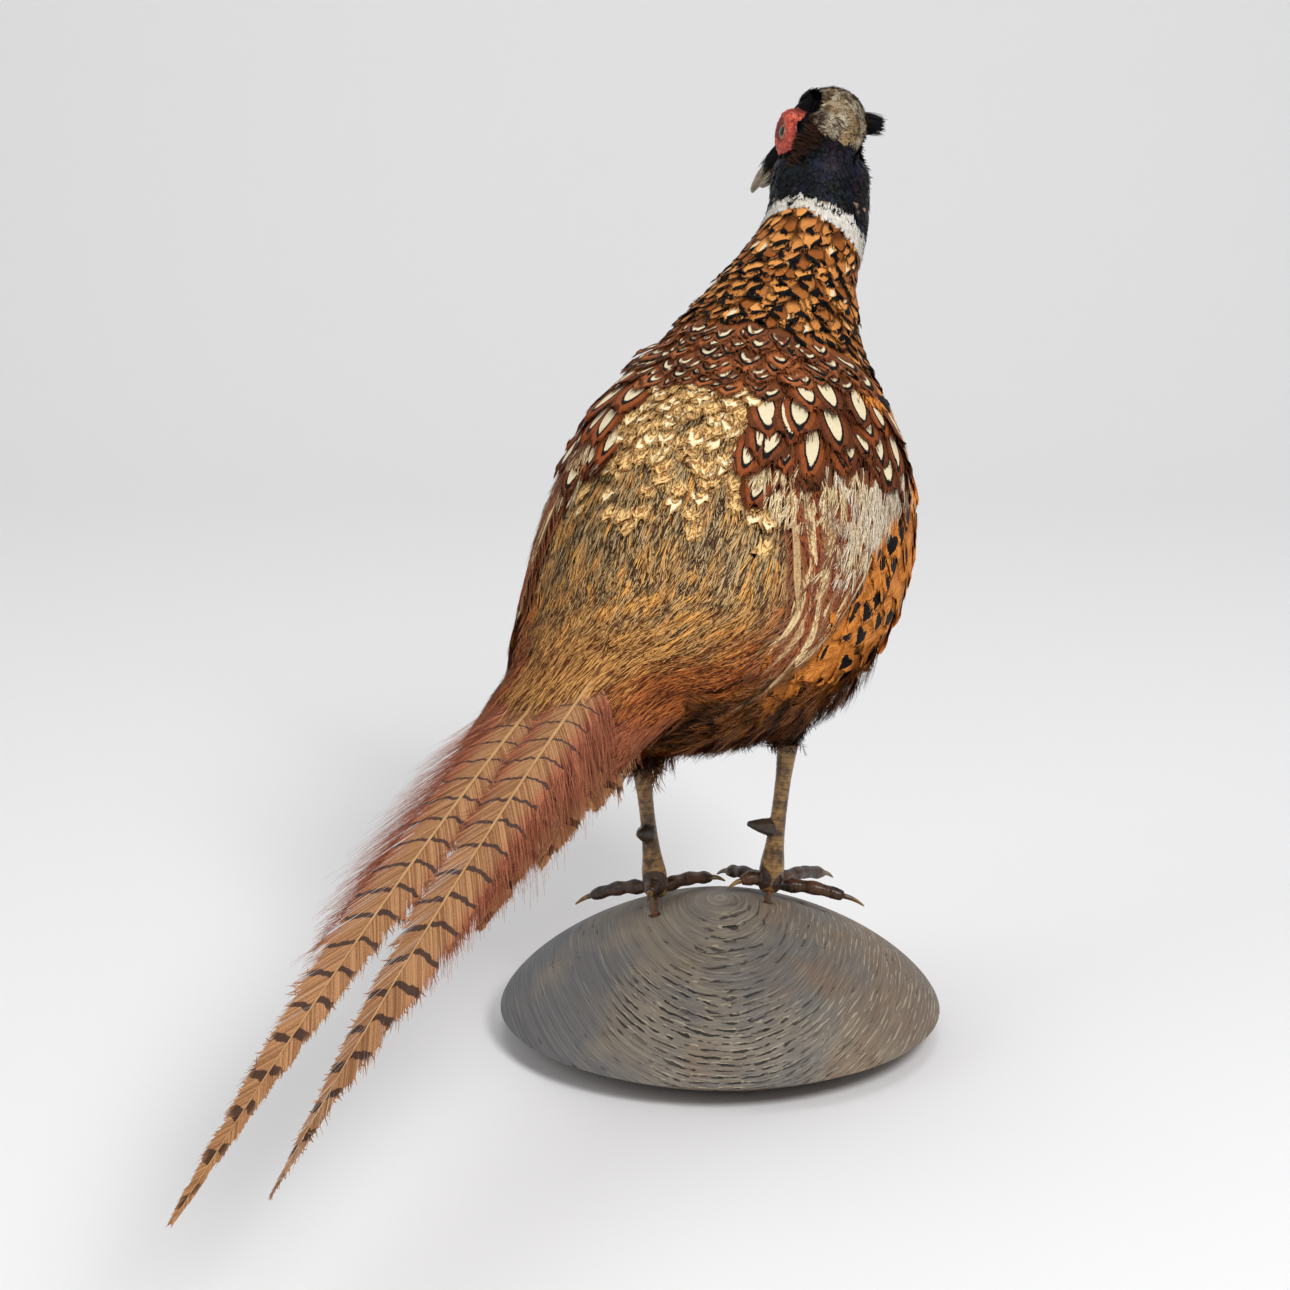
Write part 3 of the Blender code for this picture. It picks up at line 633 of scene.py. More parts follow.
class RunBed:
    """Long feathers laid over a form from one place to another."""

    def __init__(self, form, starts, ends, sweep=1.0):
        self.form, self.sweep = form, sweep
        self.s, self.a = (np.asarray(v, float)[:, None] for v in starts)
        self.s_end, self.a_end = (np.asarray(v, float)[:, None] for v in ends)
        self.count = len(self.s)
        middle = ((self.s + self.s_end) / 2, (self.a + self.a_end) / 2)
        self.per_station = form.read(form.along, *middle)
        self.per_degree = form.read(form.around, *middle)
        self.length = np.hypot((self.s_end - self.s) * self.per_station,
                               (self.a_end - self.a) * self.per_degree)[:, 0]
        self.home = form.chart(self.s[:, 0], self.a[:, 0])
        self.root = np.stack([rng.random(self.count), self.s[:, 0], abs(self.a[:, 0])], -1)

    def place(self, x, y, lift):
        share = np.maximum(x / self.length[:, None], 0)
        run = (self.s_end - self.s) * self.per_station
        turn = (self.a_end - self.a) * self.per_degree * self.sweep
        turn = turn * np.maximum(share, 0.02) ** (self.sweep - 1)
        size = np.hypot(run, turn)
        station = self.s + (self.s_end - self.s) * share - y * turn / size / self.per_station
        angle = self.a + (self.a_end - self.a) * share ** self.sweep
        angle = angle + y * run / size / self.per_degree
        return self.form.at(station, angle, lift)


class FreeBed:
    """Roots anywhere on the skin, each with the direction in which its feather lies."""

    def __init__(self, tree, points, normals, flows, chart, wander=10.0, cling=1.0, roundness=18.0):
        """Cling is how far a tip follows the skin; roundness the skin's radius across."""
        self.tree, self.points, self.normals = tree, points, unit(normals)
        self.cling, self.roundness = cling, roundness
        self.count = len(points)
        flat = flows - self.normals * (flows * self.normals).sum(-1, keepdims=True)
        flat = unit(flat + 1e-9)
        side = np.cross(self.normals, flat)
        turn = np.radians(rng.normal(0, wander, self.count))[:, None]
        self.flows = flat * np.cos(turn) + side * np.sin(turn)
        self.home = chart(points)
        self.root = np.concatenate([rng.random((self.count, 1)), self.home], -1)

    def follow(self, target):
        """The targets, moved towards the skin's nearest points."""
        found = target.copy()
        for i, place in enumerate(target):
            hit = self.tree.find_nearest(Vector(place))[0]
            if hit is not None:
                found[i] += (np.array(hit) - place) * self.cling
        return found

    def place(self, x, y, lift):
        reach = x.max(1)[:, None]
        middle = self.follow(self.points + self.flows * reach / 2)
        end = self.follow(2 * middle - self.points)
        share = (x / reach)[..., None]
        spine = (self.points[:, None] * (1 - share) * (1 - 2 * share)
                 + middle[:, None] * 4 * share * (1 - share)
                 + end[:, None] * share * (2 * share - 1))
        way = unit(end - self.points)
        side = unit(np.cross(self.normals, way))
        tip_normal = unit(np.cross(unit(end - middle), side))
        normal = unit(self.normals[:, None] * (1 - share) + tip_normal[:, None] * share)
        level = lift - y ** 2 / (2 * self.roundness)
        return spine + side[:, None] * y[..., None] + normal * level[..., None]


# Feathers -------------------------------------------------------------------------------------

def scatter(form, inside, along, across, span, heading=0.0):
    """A bed in staggered rows from head to tail over the part that inside() accepts."""
    angles = np.linspace(-180, 180, RING_STEPS + 1)
    stations, turns = [], []
    station, row = span[0], 0
    while station < span[1]:
        widths = form.read(form.around, np.full(RING_STEPS + 1, station), angles)
        reach = np.concatenate([[0], np.cumsum(widths[1:] * 360 / RING_STEPS)])
        places = np.arange((row % 2) * across / 2, reach[-1], across)
        a = np.interp(places, reach, angles)
        level = np.full(len(a), station)
        a = a + rng.normal(0, JITTER, len(a)) * across / form.read(form.around, level, a)
        s = level + rng.normal(0, JITTER, len(a)) * along / form.read(form.along, level, a)
        keep = inside(s, a)
        stations.append(s[keep])
        turns.append(a[keep])
        lengths = form.read(form.along, level, a)
        station += along / (lengths[keep].mean() if keep.any() else lengths.mean())
        row += 1
    turns = np.concatenate(turns)
    way = heading(turns) if callable(heading) else heading
    return FormBed(form, np.concatenate(stations), turns, way)


def unruly(spread):
    """Headings that differ from feather to feather, in degrees."""
    return lambda angles: rng.normal(0, spread, len(angles))


def outline(t, quill=0.3, full=0.4, blunt=0.55):
    """Half width along a feather as a share of its greatest."""
    swell = quill + (1 - quill) * np.clip(t / full, 0, 1) ** 0.8
    end = np.clip((t - blunt) / (1 - blunt), 0, 1)
    return swell * np.sqrt(np.maximum(1 - end ** 2.2, 0.01))


def varied(size, count, spread):
    return (np.ones(count) * size * rng.normal(1, spread, count))[:, None]


def strip_faces(quads):
    """Quads along a strip whose points come in pairs from its two edges."""
    step = np.arange(quads) * 2
    return np.stack([step, step + 1, step + 3, step + 2], -1)


def webs(count, size, half, lifts, rows, columns, ragged, camber, shape):
    """The curved webs of whole feathers: their points, their map and the height of each tip."""
    t = 1 - (1 - np.linspace(0, 1, rows + 1)) ** 1.35
    u = np.linspace(-1, 1, columns + 1)
    u, t = (v.ravel()[None] for v in np.meshgrid(u, t))
    rough = rng.normal(0, ragged, (count, u.shape[1])) * np.maximum(abs(u), t) ** 6
    x = size * (t * (1 - 0.08 * u ** 2) + rough * 0.5)
    y = half * u * outline(t, *shape) * (1 + rough)
    turned = rng.normal(0, 0.1, (count, 1)) * half * u
    low, high = lifts
    tips = high + rng.normal(0, 0.12, (count, 1)) * (high - low)
    lift = low + (tips - low) * t ** 1.2
    lift = lift + (camber * half * (1 - u ** 2) * outline(t, *shape) + turned * t)
    vane = np.broadcast_to(np.stack([u + 0 * t, t + 0 * u], -1), (count,) + u.shape[1:] + (2,))
    return (x, y, lift), vane, tips


def rims(count, size, half, low, tips, rim, shape):
    """Short loose barbs along both edges, one quad each, and their map."""
    side = np.tile([-1.0, 1.0], rim // 2)[None]
    start = 1 - (1 - np.repeat(np.linspace(0, 0.97, rim // 2), 2)[None]) ** 1.6 * 0.7
    start = start + rng.normal(0, 0.012, (count, rim))
    splay = np.radians(np.interp(start, (0.3, 1), (40, 5)))
    reach = size * rng.uniform(0.05, 0.15, (count, rim))
    edge = outline(np.clip(start, 0, 1), *shape)
    x = (size * (start - 0.05))[..., None] + (reach * np.cos(splay))[..., None] * BARB_FAR
    x = x - (side * np.sin(splay))[..., None] * BARB_THICK
    y = (side * half * edge * 0.9)[..., None] + (side * reach * np.sin(splay))[..., None] * BARB_FAR
    y = y + np.cos(splay)[..., None] * BARB_THICK
    lift = (low + (tips - low) * start)[..., None] + 0.25 * BARB_FAR
    lift = lift + rng.normal(0, 0.15, (count, rim, 1)) * BARB_FAR
    across = side[..., None] * (0.9 * edge[..., None] ** 0.3 + 0.1 * BARB_FAR)
    vane = np.stack([across + 0 * x, x / size[..., None]], -1).reshape(count, -1, 2)
    return tuple(v.reshape(count, -1) for v in (x, y, lift)), vane


def lay_vanes(coat, bed, length, width, lifts=(0.2, 2.2), rows=8, columns=6, ragged=0.05,
              camber=0.1, rim=22, shape=(0.3, 0.4, 0.55), mirror=1):
    """Whole feathers: a curved vane whose edge breaks up into short loose barbs."""
    count = bed.count
    size, half = varied(length, count, 0.07), varied(width / 2, count, 0.07)
    web, web_map, tips = webs(count, size, half, lifts, rows, columns, ragged, camber, shape)
    edge, edge_map = rims(count, size, half, lifts[0], tips, rim, shape)
    places = bed.place(*(np.concatenate(pair, 1) for pair in zip(web, edge)))
    quads = np.arange(4 * rim).reshape(-1, 4) + web_map.shape[1]
    faces = np.concatenate([grid_faces(rows, columns), quads])
    vane = np.concatenate([web_map, edge_map], 1) * (mirror, 1)
    coat.add(places, faces, vane, vane * (0.5, 1.0), bed)


def lay_hairs(coat, bed, length, width, lifts=(0.3, 2.4), barbs=9, thick=0.45, points=4,
              stray=0.25, leave=0.8):
    """Loose feathers: thin separate barbs that leave both sides of a shaft, the last at leave."""
    number = 2 * barbs
    side = np.tile([-1.0, 1.0], barbs)[None, :, None]
    start = np.repeat(np.linspace(0.02, leave, barbs), 2)[None, :, None]
    start = start + rng.normal(0, 0.03, (bed.count, number, 1))
    p = np.linspace(0, 1, points + 1)[None, None, :]
    size, half = varied(length, bed.count, 0.12), varied(width / 2, bed.count, 0.1)
    size, half = size[..., None], half[..., None]
    reach = (1.05 - start) * rng.normal(0.75, 0.12, (bed.count, number, 1))
    along = start + reach * p
    out = side * half * rng.normal(1, stray, (bed.count, number, 1)) * p ** 0.85
    out = out * (1 - 0.35 * start) + rng.normal(0, 0.4, (bed.count, number, 1)) * p ** 2
    breadth = thick / 2 * (1 - 0.75 * p ** 2)
    full = (bed.count, number * 2 * (points + 1))
    x = np.stack([size * along] * 2, -1).reshape(full)
    y = np.stack([out - breadth, out + breadth], -1).reshape(full)
    level = np.stack([along, along], -1)
    low, high = lifts
    lift = low + (high - low) * level
    lift = lift + rng.normal(0, 0.3, (bed.count, number, 1, 1)) * level
    vane = np.stack([np.stack([out / half] * 2, -1).reshape(full), level.reshape(full)], -1)
    strips = np.arange(number)[:, None, None] * 2 * (points + 1)
    faces = (strip_faces(points) + strips).reshape(-1, 4)
    coat.add(bed.place(x, y, lift.reshape(full)), faces, vane, vane * (0.5, 1.0), bed)


# Regions --------------------------------------------------------------------------------------

def curve(table, column, at):
    rows = np.asarray(table, float)
    return np.interp(at, rows[:, 0], rows[:, column])


def wrapped(angle):
    return (np.asarray(angle) + 180) % 360 - 180


def collar_edges(a):
    a = wrapped(a)
    return curve(COLLAR, 1, a), curve(COLLAR, 2, a)


def wing_edges(s):
    return curve(WING_UPPER, 1, s), curve(WING_LOWER, 1, s)


def on_neck(s, a):
    return (s < collar_edges(a)[0]) & (s > 0.55)


def on_collar(s, a):
    upper, lower = collar_edges(a)
    return (s >= upper) & (s < lower)


def on_copper(s, a):
    turn = abs(wrapped(a))
    limit = np.interp(turn, (0, 60, 90, 130, 180), (MANTLE_START, 3.9, 4.3, 5.6, 6.4))
    return (s >= collar_edges(a)[1] - 0.08) & (s < limit)


def on_wing(s, a):
    upper, lower = wing_edges(s)
    turn = abs(wrapped(a))
    return (turn >= upper) & (turn < lower) & (s > 4.6) & (s < 10.0)


def on_shoulder(s, a):
    """The upper part of the wing, shorter towards the flank."""
    return on_wing(s, a) & (s < np.interp(abs(wrapped(a)), (36, 66), (6.2, 5.6)))


def on_coverts(s, a):
    return on_wing(s, a) & (s > 6.0)


def on_downy(s, a):
    """The outer edge of the wing."""
    return on_wing(s, a) & (abs(wrapped(a)) > wing_edges(s)[1] - 12)


def above_copper(s, a):
    """The collar, moved a little towards the copper feathers."""
    return on_collar(s + 0.03, a)


def on_back_top(s, a):
    """The back, with fewer and fewer roots further down."""
    return on_back(s, a) & (s < rng.uniform(5.5, 7.2, len(s)))


def beside_tail(s, a):
    return abs(abs(wrapped(a)) - 100) < 32


def on_back(s, a):
    turn = abs(wrapped(a))
    return (s >= BACK_START + 0.004 * turn) & (turn < wing_edges(s)[0])


def beside_back(s, a):
    """The lower back, and the strip of the wings that its hair covers."""
    turn = abs(wrapped(a))
    return (s >= BACK_START) & (turn < wing_edges(s)[0] + np.interp(s, (6.5, 8), (0, 7)))


def on_mantle(s, a):
    return ((s >= MANTLE_START) & (abs(wrapped(a)) < 75) & (s < 5.6) & ~on_back(s, a)
            & ~on_wing(s, a) & ~on_copper(s, a))


def on_flank(s, a):
    turn = abs(wrapped(a))
    low = np.interp(s, BELLY_EDGE[0], BELLY_EDGE[1])
    return ((s > 3.8) & (turn < low) & ~on_wing(s, a) & ~on_back(s, a) & ~on_mantle(s, a)
            & ~on_copper(s, a))


def on_belly(s, a):
    turn = abs(wrapped(a))
    low = np.interp(s, BELLY_EDGE[0], BELLY_EDGE[1])
    return (turn >= low) & (s > 5.5)


BODY_TONES = (
    (on_neck, (20, 20, 32)),
    (on_collar, (215, 208, 190)),
    (on_copper, (150, 82, 36)),
    (on_mantle, (105, 58, 36)),
    (on_wing, (120, 82, 58)),
    (on_back, (140, 118, 78)),
    (on_flank, (185, 112, 45)),
    (on_belly, (52, 36, 26)),
)


def body_tones(s, a):
    """Ground colour of the plumage at places on the body."""
    tones = np.tile(linear(60, 42, 30), (len(s), 1))
    for inside, tone in BODY_TONES:
        tones[inside(s, a)] = linear(*tone)
    return tones


# Skin -----------------------------------------------------------------------------------------

def welded(name, swell):
    """A node's mesh in a bmesh with its split corners joined, pushed out by swell."""
    form = bmesh.new()
    form.from_mesh(NODES[name].data)
    bmesh.ops.remove_doubles(form, verts=form.verts, dist=0.00002)
    bmesh.ops.recalc_face_normals(form, faces=form.faces)
    form.normal_update()
    for corner in form.verts:
        corner.co += corner.normal * swell * MM
    return form


def gathered(names, name, swell, stretched=()):
    """The named solids in one mesh; some are stretched away from a tip of theirs."""
    whole = bpy.data.meshes.new(name)
    joined = bmesh.new()
    for node in names:
        form = welded(node, swell)
        if node in stretched:
            tip = Vector(stretched[node]) * MM
            for corner in form.verts:
                corner.co = tip + (corner.co - tip) * SPUR_STRETCH
        form.to_mesh(whole)
        form.free()
        joined.from_mesh(whole)
    joined.to_mesh(whole)
    joined.free()
    return whole


def modified(mesh, *modifiers):
    """The mesh after modifiers, each a kind with its settings; the first mesh is left behind."""
    rough = linked(mesh.name + "_rough", mesh)
    for kind, settings in modifiers:
        modifier = rough.modifiers.new(kind, kind)
        for key, value in settings.items():
            setattr(modifier, key, value)
    graph = bpy.context.evaluated_depsgraph_get()
    made = bpy.data.meshes.new_from_object(rough.evaluated_get(graph))
    bpy.data.objects.remove(rough)
    return made


def remeshed(mesh, voxel, smoothing):
    """One closed surface round the mesh."""
    return modified(mesh, ("REMESH", {"mode": "VOXEL", "voxel_size": voxel * MM}),
                    ("SMOOTH", {"iterations": smoothing, "factor": 0.5}))


def rounded(names, name, levels, swell=0.0):
    """A rounded copy of the named solids as one mesh."""
    return modified(gathered(names, name, swell), ("SUBSURF", {"levels": levels}))


def make_skin():
    """The remeshed flesh, drawn in by the coat's depth, and its surface for rays."""
    mesh = remeshed(gathered(FLESH, "skin", JOINING), VOXEL, 8)
    points = positions(mesh)
    from_head = np.linalg.norm(points - np.array(HEAD_CENTRE), axis=1)
    depth = np.interp(from_head, HEAD_REACH, (HEAD_COAT_DEPTH, COAT_DEPTH))
    for hock in HOCKS:
        away = np.linalg.norm(points - np.array(hock), axis=1)
        depth = np.minimum(depth, np.interp(away, HOCK_REACH, (HOCK_COAT_DEPTH, COAT_DEPTH)))
    depth = depth + JOINING
    points = points - corner_values(mesh, "normal") * depth[:, None]
    move_corners(mesh, points)
    return mesh, surface_tree(mesh, points)


def body_places(form, points):
    """The station and the angle of the form's grid point nearest to each point."""
    stations = np.linspace(0, form.last, form.steps + 1)
    turns = np.arange(form.TURNS) * 360 / form.TURNS
    grid_s, grid_a = np.meshgrid(stations, wrapped(turns), indexing="ij")
    nearest = KDTree(grid_s.size)
    for number, place in enumerate(form.points.reshape(-1, 3)):
        nearest.insert(place, number)
    nearest.balance()
    found = np.array([nearest.find(point)[1] for point in points])
    return grid_s.ravel()[found], grid_a.ravel()[found]


def finish_skin(mesh, form):
    """Gives the skin the plumage's ground colours, darkened by SKIN_SHADE as painted shade under
    the coat, so that gaps in the coat don't show.
    """
    points = positions(mesh)
    tones = body_tones(*body_places(form, points))
    from_head = np.linalg.norm(points - np.array(HEAD_CENTRE), axis=1)
    tones[from_head < HEAD_REACH[0] - 1] = linear(22, 20, 26)
    # painted shade inside the coat, where the gaps between feathers show the skin
    tones[:, :3] *= SKIN_SHADE
    layer = mesh.color_attributes.new("Markings", "FLOAT_COLOR", "POINT")
    layer.data.foreach_set("color", tones.ravel())
    look = Look("skin_look", roughness=0.8)
    tone = look.node("Attribute", output=0, attribute_name="Markings")
    look.colour(look.mix(look.noise(look.place(), 300.0) * 0.5, tone, (20, 16, 14)))
    piece(mesh, "skin", look.made, "plumage", FLESH)


# Paints ---------------------------------------------------------------------------------------

def hair_shade(look, across, along, lot):
    """A shade of its own for each barb of a loose feather."""
    return look.noise(look.vector(along * 1.1, across * 9.0, lot * 57.0), 1.0, 2.0)


def paint_back(look, across, along, lot, streaks):
    """Buff olive with golden flecks, orange brown low down, chestnut towards the wings."""
    _, station, turn = look.root()
    strand = look.noise(look.vector(along * 0.35, across * 4.5, lot * 57.0), 1.0, 1.0)
    shade = look.step(strand * 0.85 + lot * 0.15, 0.42, 0.6)
    olive = look.mix(shade, (68, 44, 24), (200, 172, 126))
    rust = look.mix(shade, (88, 42, 16), (226, 168, 96))
    side = look.mix(shade, (78, 34, 15), (186, 108, 54))
    rusty = look.step(station + streaks * 1.6 + look.step(lot, 0.4, 0.9) * 1.6, 7.9, 10.0)
    tone = look.mix(rusty, olive, rust)
    tone = look.fade(turn + station * 3.0 + lot * 16.0, 74.0, 94.0, tone, side)
    chosen = look.step(lot, 0.88, 0.89) * look.step(station, 9.2, 8.0)
    mark = look.step(along, 0.3, 0.6) * chosen * 0.8
    tone = look.mix(mark, tone, look.mix(shade, (176, 104, 42), (240, 178, 92)))
    # painted shade: darker towards the root, where the feathers above cover it
    return look.fade(along, 0.3, 0.05, tone, (66, 46, 28))


def paint_crescent(look, across, along, lot, streaks):
    """Golden buff barred with brown; most feathers have a cream crescent near the tip."""
    deep = (along - 0.42) * 1.6
    reach = (across * across + deep * deep) ** 0.5 + (streaks - 0.5) * 0.16
    _, station, _ = look.root()
    torn = look.noise(look.vector(across * 2.2, along * 5.0, lot * 71.0), 1.0, 2.0)
    bars = abs(look.math("FRACT", reach * 2.6 + lot * 7.0 + torn * 2.6) - 0.5)
    ground = look.fade(bars, 0.12, 0.3, (162, 110, 58), (246, 206, 138))
    crescent = look.step(abs(reach - 0.68) + (torn - 0.5) * 0.5, 0.17, 0.08)
    crescent = crescent * look.step(along, 0.55, 0.66)
    crescent = crescent * look.step(lot - (station - 5.0) * 0.3, 0.22, 0.24)
    tone = look.mix(crescent, ground, (250, 236, 196))
    tone = look.mix(look.step(reach, 0.9, 1.0) * 0.5, tone, (150, 104, 56))
    # painted shade: darker towards the root, where the feathers above cover it
    return look.fade(along, 0.5, 0.2, tone, (90, 64, 38))


def paint_flank(look, across, along, lot, streaks):
    """Golden orange; about half the feathers carry a black heart near the tip."""
    _, station, turn = look.root()
    tone = look.fade(streaks, 0.3, 0.7, (160, 82, 24), (232, 152, 68))
    dark = look.step(station + turn * 0.012, 9.6, 10.9)
    tone = look.mix(dark, tone, (96, 52, 24))
    # painted shade: darker towards the root, where the feathers above cover it
    tone = look.fade(along, 0.5, 0.2, tone, (120, 84, 52))
    wide = across * 1.8
    tall = (along - 0.83 + abs(across) * 0.22) * 6.0
    heart = (wide * wide + tall * tall) ** 0.5 + (streaks - 0.5) * 0.4
    chosen = look.step(lot, 0.5, 0.51) * look.step(station, 9.0, 8.9)
    return look.mix(look.step(heart, 1.06, 0.94) * chosen, tone, (13, 12, 15))


def paint_copper(look, across, along, lot, streaks):
    """Golden copper with a dark wedge at one side of the tip, and pale centres on some."""
    tone = look.fade(streaks * 0.5 + lot * 0.5, 0.25, 0.75, (144, 78, 30), (236, 160, 84))
    # painted shade: darker towards the root, where the feathers above cover it
    tone = look.fade(along, 0.6, 0.3, tone, (96, 52, 22))
    tone = look.mix(look.step(abs(across) + along * 0.3, 0.9, 1.1) * 0.7, tone, (26, 15, 9))
    pale = look.step(abs(across), 0.34, 0.2) * look.step(along, 0.55, 0.62)
    pale = pale * look.step(lot, 0.9, 0.91)
    tone = look.mix(pale, tone, (228, 214, 180))
    lean = look.step(lot, 0.49, 0.51) * 2.0 - 1.0
    wedge = along - 0.85 - across * lean * 0.3 - abs(across) * 0.06
    wedge = wedge + (streaks - 0.5) * 0.12
    return look.fade(wedge, -0.015, 0.015, tone, (7, 6, 7))


def paint_flight(look, across, along, lot, streaks):
    """Maroon brown with fine barbs, paler along the edge."""
    fine = look.noise(look.vector(along * 60.0, across * 2.0, lot * 31.0), 1.0, 2.0)
    tone = look.fade(fine, 0.35, 0.65, (78, 34, 22), (164, 88, 52))
    return look.mix(look.step(abs(across), 0.8, 0.98) * 0.5, tone, (198, 150, 100))


def paint_streak(look, across, along, lot, streaks):
    """Cream with a tan shaft and brown towards the edges, and darker towards the root as painted
    shade.
    """
    fine = look.noise(look.vector(along * 70.0, across * 2.0, lot * 31.0), 1.0, 2.0)
    tone = look.fade(fine, 0.35, 0.65, (204, 164, 108), (250, 230, 184))
    edge = look.step(abs(across) + (fine - 0.5) * 0.4, 0.7, 0.86)
    tone = look.mix(edge * 0.85, tone, (112, 58, 34))
    tone = look.mix(look.step(fine + lot * 0.3, 0.72, 0.8) * 0.7, tone, (134, 74, 44))
    tone = look.mix(look.step(abs(across), 0.1, 0.04) * 0.6, tone, (168, 124, 80))
    # painted shade: darker towards the root, where the feathers above cover it
    return look.fade(along, 0.25, 0.1, tone, (120, 76, 48))


def paint_coverts(look, across, along, lot, streaks):
    """Buff and maroon streaks, silvery white on the outer side of the wing."""
    _, station, turn = look.root()
    shade = hair_shade(look, across, along, lot)
    buff = look.fade(shade, 0.3, 0.7, (180, 144, 96), (246, 230, 188))
    maroon = look.fade(shade, 0.3, 0.7, (84, 40, 30), (146, 84, 60))
    silver = look.fade(shade, 0.3, 0.7, (192, 168, 136), (250, 242, 222))
    tone = look.fade(lot, 0.5, 0.58, buff, maroon)
    outer = look.step(turn + lot * 16.0 - look.step(station, 5.8, 6.8) * 10.0, 62.0, 70.0)
    return look.mix(outer, tone, silver)


def paint_belly(look, across, along, lot, streaks):
    """Dark round the thighs, rusty further back."""
    _, station, _ = look.root()
    shade = hair_shade(look, across, along, lot)
    dark = look.fade(shade, 0.3, 0.8, (24, 17, 14), (96, 58, 30))
    rust = look.fade(shade, 0.3, 0.7, (92, 48, 18), (206, 132, 60))
    return look.fade(lot + (station - 8.0) * 0.25, 0.4, 0.5, dark, rust)


def paint_vent(look, across, along, lot, streaks):
    shade = look.step(hair_shade(look, across, along, lot), 0.3, 0.75)
    rust = look.mix(shade, (84, 42, 18), (196, 126, 62))
    dark = look.mix(shade, (20, 14, 12), (84, 52, 32))
    return look.fade(lot, 0.55, 0.6, rust, dark)


def paint_hair(low, high):

    def paint(look, across, along, lot, streaks):
        shade = hair_shade(look, across, along, lot) * 0.75 + lot * 0.25
        return look.fade(shade, 0.28, 0.72, low, high)
    return paint


def paint_crown(look, across, along, lot, streaks):
    """Mottled grey buff, browner in patches."""
    shade = look.step(hair_shade(look, across, along, lot) * 0.6 + lot * 0.4, 0.3, 0.7)
    patch = look.step(look.noise(look.place(), 110.0, 2.0), 0.45, 0.6)
    grey = look.mix(shade, (66, 54, 42), (214, 200, 172))
    brown = look.mix(shade, (44, 32, 20), (184, 156, 116))
    return look.mix(patch, grey, brown)


def paint_gloss(look, across, along, lot, streaks):
    """Black with purple, blue and green lights in broad patches."""
    _, station, _ = look.root()
    patch = look.noise(look.place(), 45.0, 2.0)
    tone = look.fade(patch, 0.42, 0.5, (34, 16, 32), (14, 20, 44))
    tone = look.fade(patch, 0.54, 0.62, tone, (10, 26, 30))
    tone = look.fade(streaks * 0.6 + lot * 0.4, 0.35, 0.75, (4, 4, 6), tone)
    fleck = look.step(lot, 0.9, 0.91) * look.step(station, 1.2, 1.5) * look.step(along, 0.7, 0.8)
    return look.mix(fleck, tone, (150, 126, 104))


def paint_tail(look, across, along, lot, streaks):
    """Buff with dark arcs and a mauve rim. Across and along are millimetres here."""
    lot, length, width = look.root()
    part = look.math("DIVIDE", along, length)
    reach = look.math("DIVIDE", along - across * across * BAR_SAG, length)
    growth = BAR_SPACING[1] - BAR_SPACING[0]
    count = look.math("LOGARITHM", reach * (growth / BAR_SPACING[0]) + 1.0, math.e)
    wave = look.noise(look.vector(along * 0.09, across * 0.25, lot * 0.2), 1.0, 2.0)
    count = count * length * (1 / growth) + (wave - 0.5) * 0.35
    count = count + look.step(across, 0.5, -0.5) * part * 0.35
    away = abs(look.math("FRACT", count) - 0.5)
    thick = part * 0.11 + 0.03 + (streaks - 0.5) * 0.03
    bar = look.step(away - thick, 0.015, -0.015)
    edge = look.step(abs(across) - width, 1.0, -1.5)
    shade = look.step(streaks * 0.7 + lot * 0.3, 0.3, 0.7)
    ground = look.mix(shade, (132, 88, 56), (196, 146, 102))
    rim = look.mix(shade, (98, 44, 28), (188, 116, 84))
    rufous = look.step(abs(across) - part * 8.0 + (streaks - 0.5) * 4.0, 3.0, 10.0)
    tone = look.mix(rufous, ground, rim)
    return look.mix(bar * edge * 0.92, tone, look.mix(part, (74, 58, 58),
                                                      (58, 38, 30)))


def paint_shaft(look, across, along, lot, streaks):
    return look.mix(look.noise(look.place(), 90.0), (180, 130, 84), (228, 188, 134))


# The body's coat ------------------------------------------------------------------------------

def coat_neck(form):
    gloss = feather_look("neck_feathers", paint_gloss, relief=0.15, roughness=0.42, gloss=0.2)
    neck = Coat("coat_neck", gloss, "dark_plumage")
    bed = scatter(form, on_neck, 2.7, 2.5, (0.5, 3.2))
    lay_vanes(neck, bed, 6.5, 4.2, lifts=(0.3, 1.5), rows=5, columns=4, rim=12)
    neck.finish()


def coat_collar(form):
    white = paint_hair((232, 224, 206), (255, 253, 248))
    collar = Coat("coat_collar", feather_look("collar_feathers", white))
    bed = scatter(form, on_collar, 1.1, 1.8, (1.3, 3.2), 12.0)
    lay_hairs(collar, bed, 4.6, 2.0, lifts=(0.8, 1.6), barbs=5, thick=0.4, stray=0.12)
    lay_vanes(collar, bed, 4.2, 2.2, lifts=(0.5, 1.3), rows=4, columns=4, rim=4, ragged=0.03)
    collar.finish()


def coat_copper(form):
    """Black-tipped copper feathers, shorter and flatter beside the collar."""
    copper = Coat("coat_copper", feather_look("copper_feathers", paint_copper))
    bed = scatter(form, on_copper, 4.7, 4.9, (1.45, 6.5), unruly(10))
    below = bed.s - collar_edges(bed.a)[1]
    lengths = np.interp(below, (-0.1, 0.5), (7.5, 14.5))
    widths = np.interp(below, (-0.1, 0.5), (5.2, 8.0))
    tips = np.interp(below, (-0.1, 0.8), (1.2, 3.0))[:, None]
    lay_vanes(copper, bed, lengths, widths, lifts=(0.2, tips), rows=7, columns=6, rim=20,
              ragged=0.11, shape=COPPER_SHAPE)
    under = scatter(form, above_copper, 2.4, 3.8, (1.45, 3.2))
    lay_vanes(copper, under, 6.0, 5.4, lifts=(0.0, 0.7), rows=5, columns=6, rim=16, ragged=0.1,
              shape=COPPER_SHAPE)
    copper.finish()


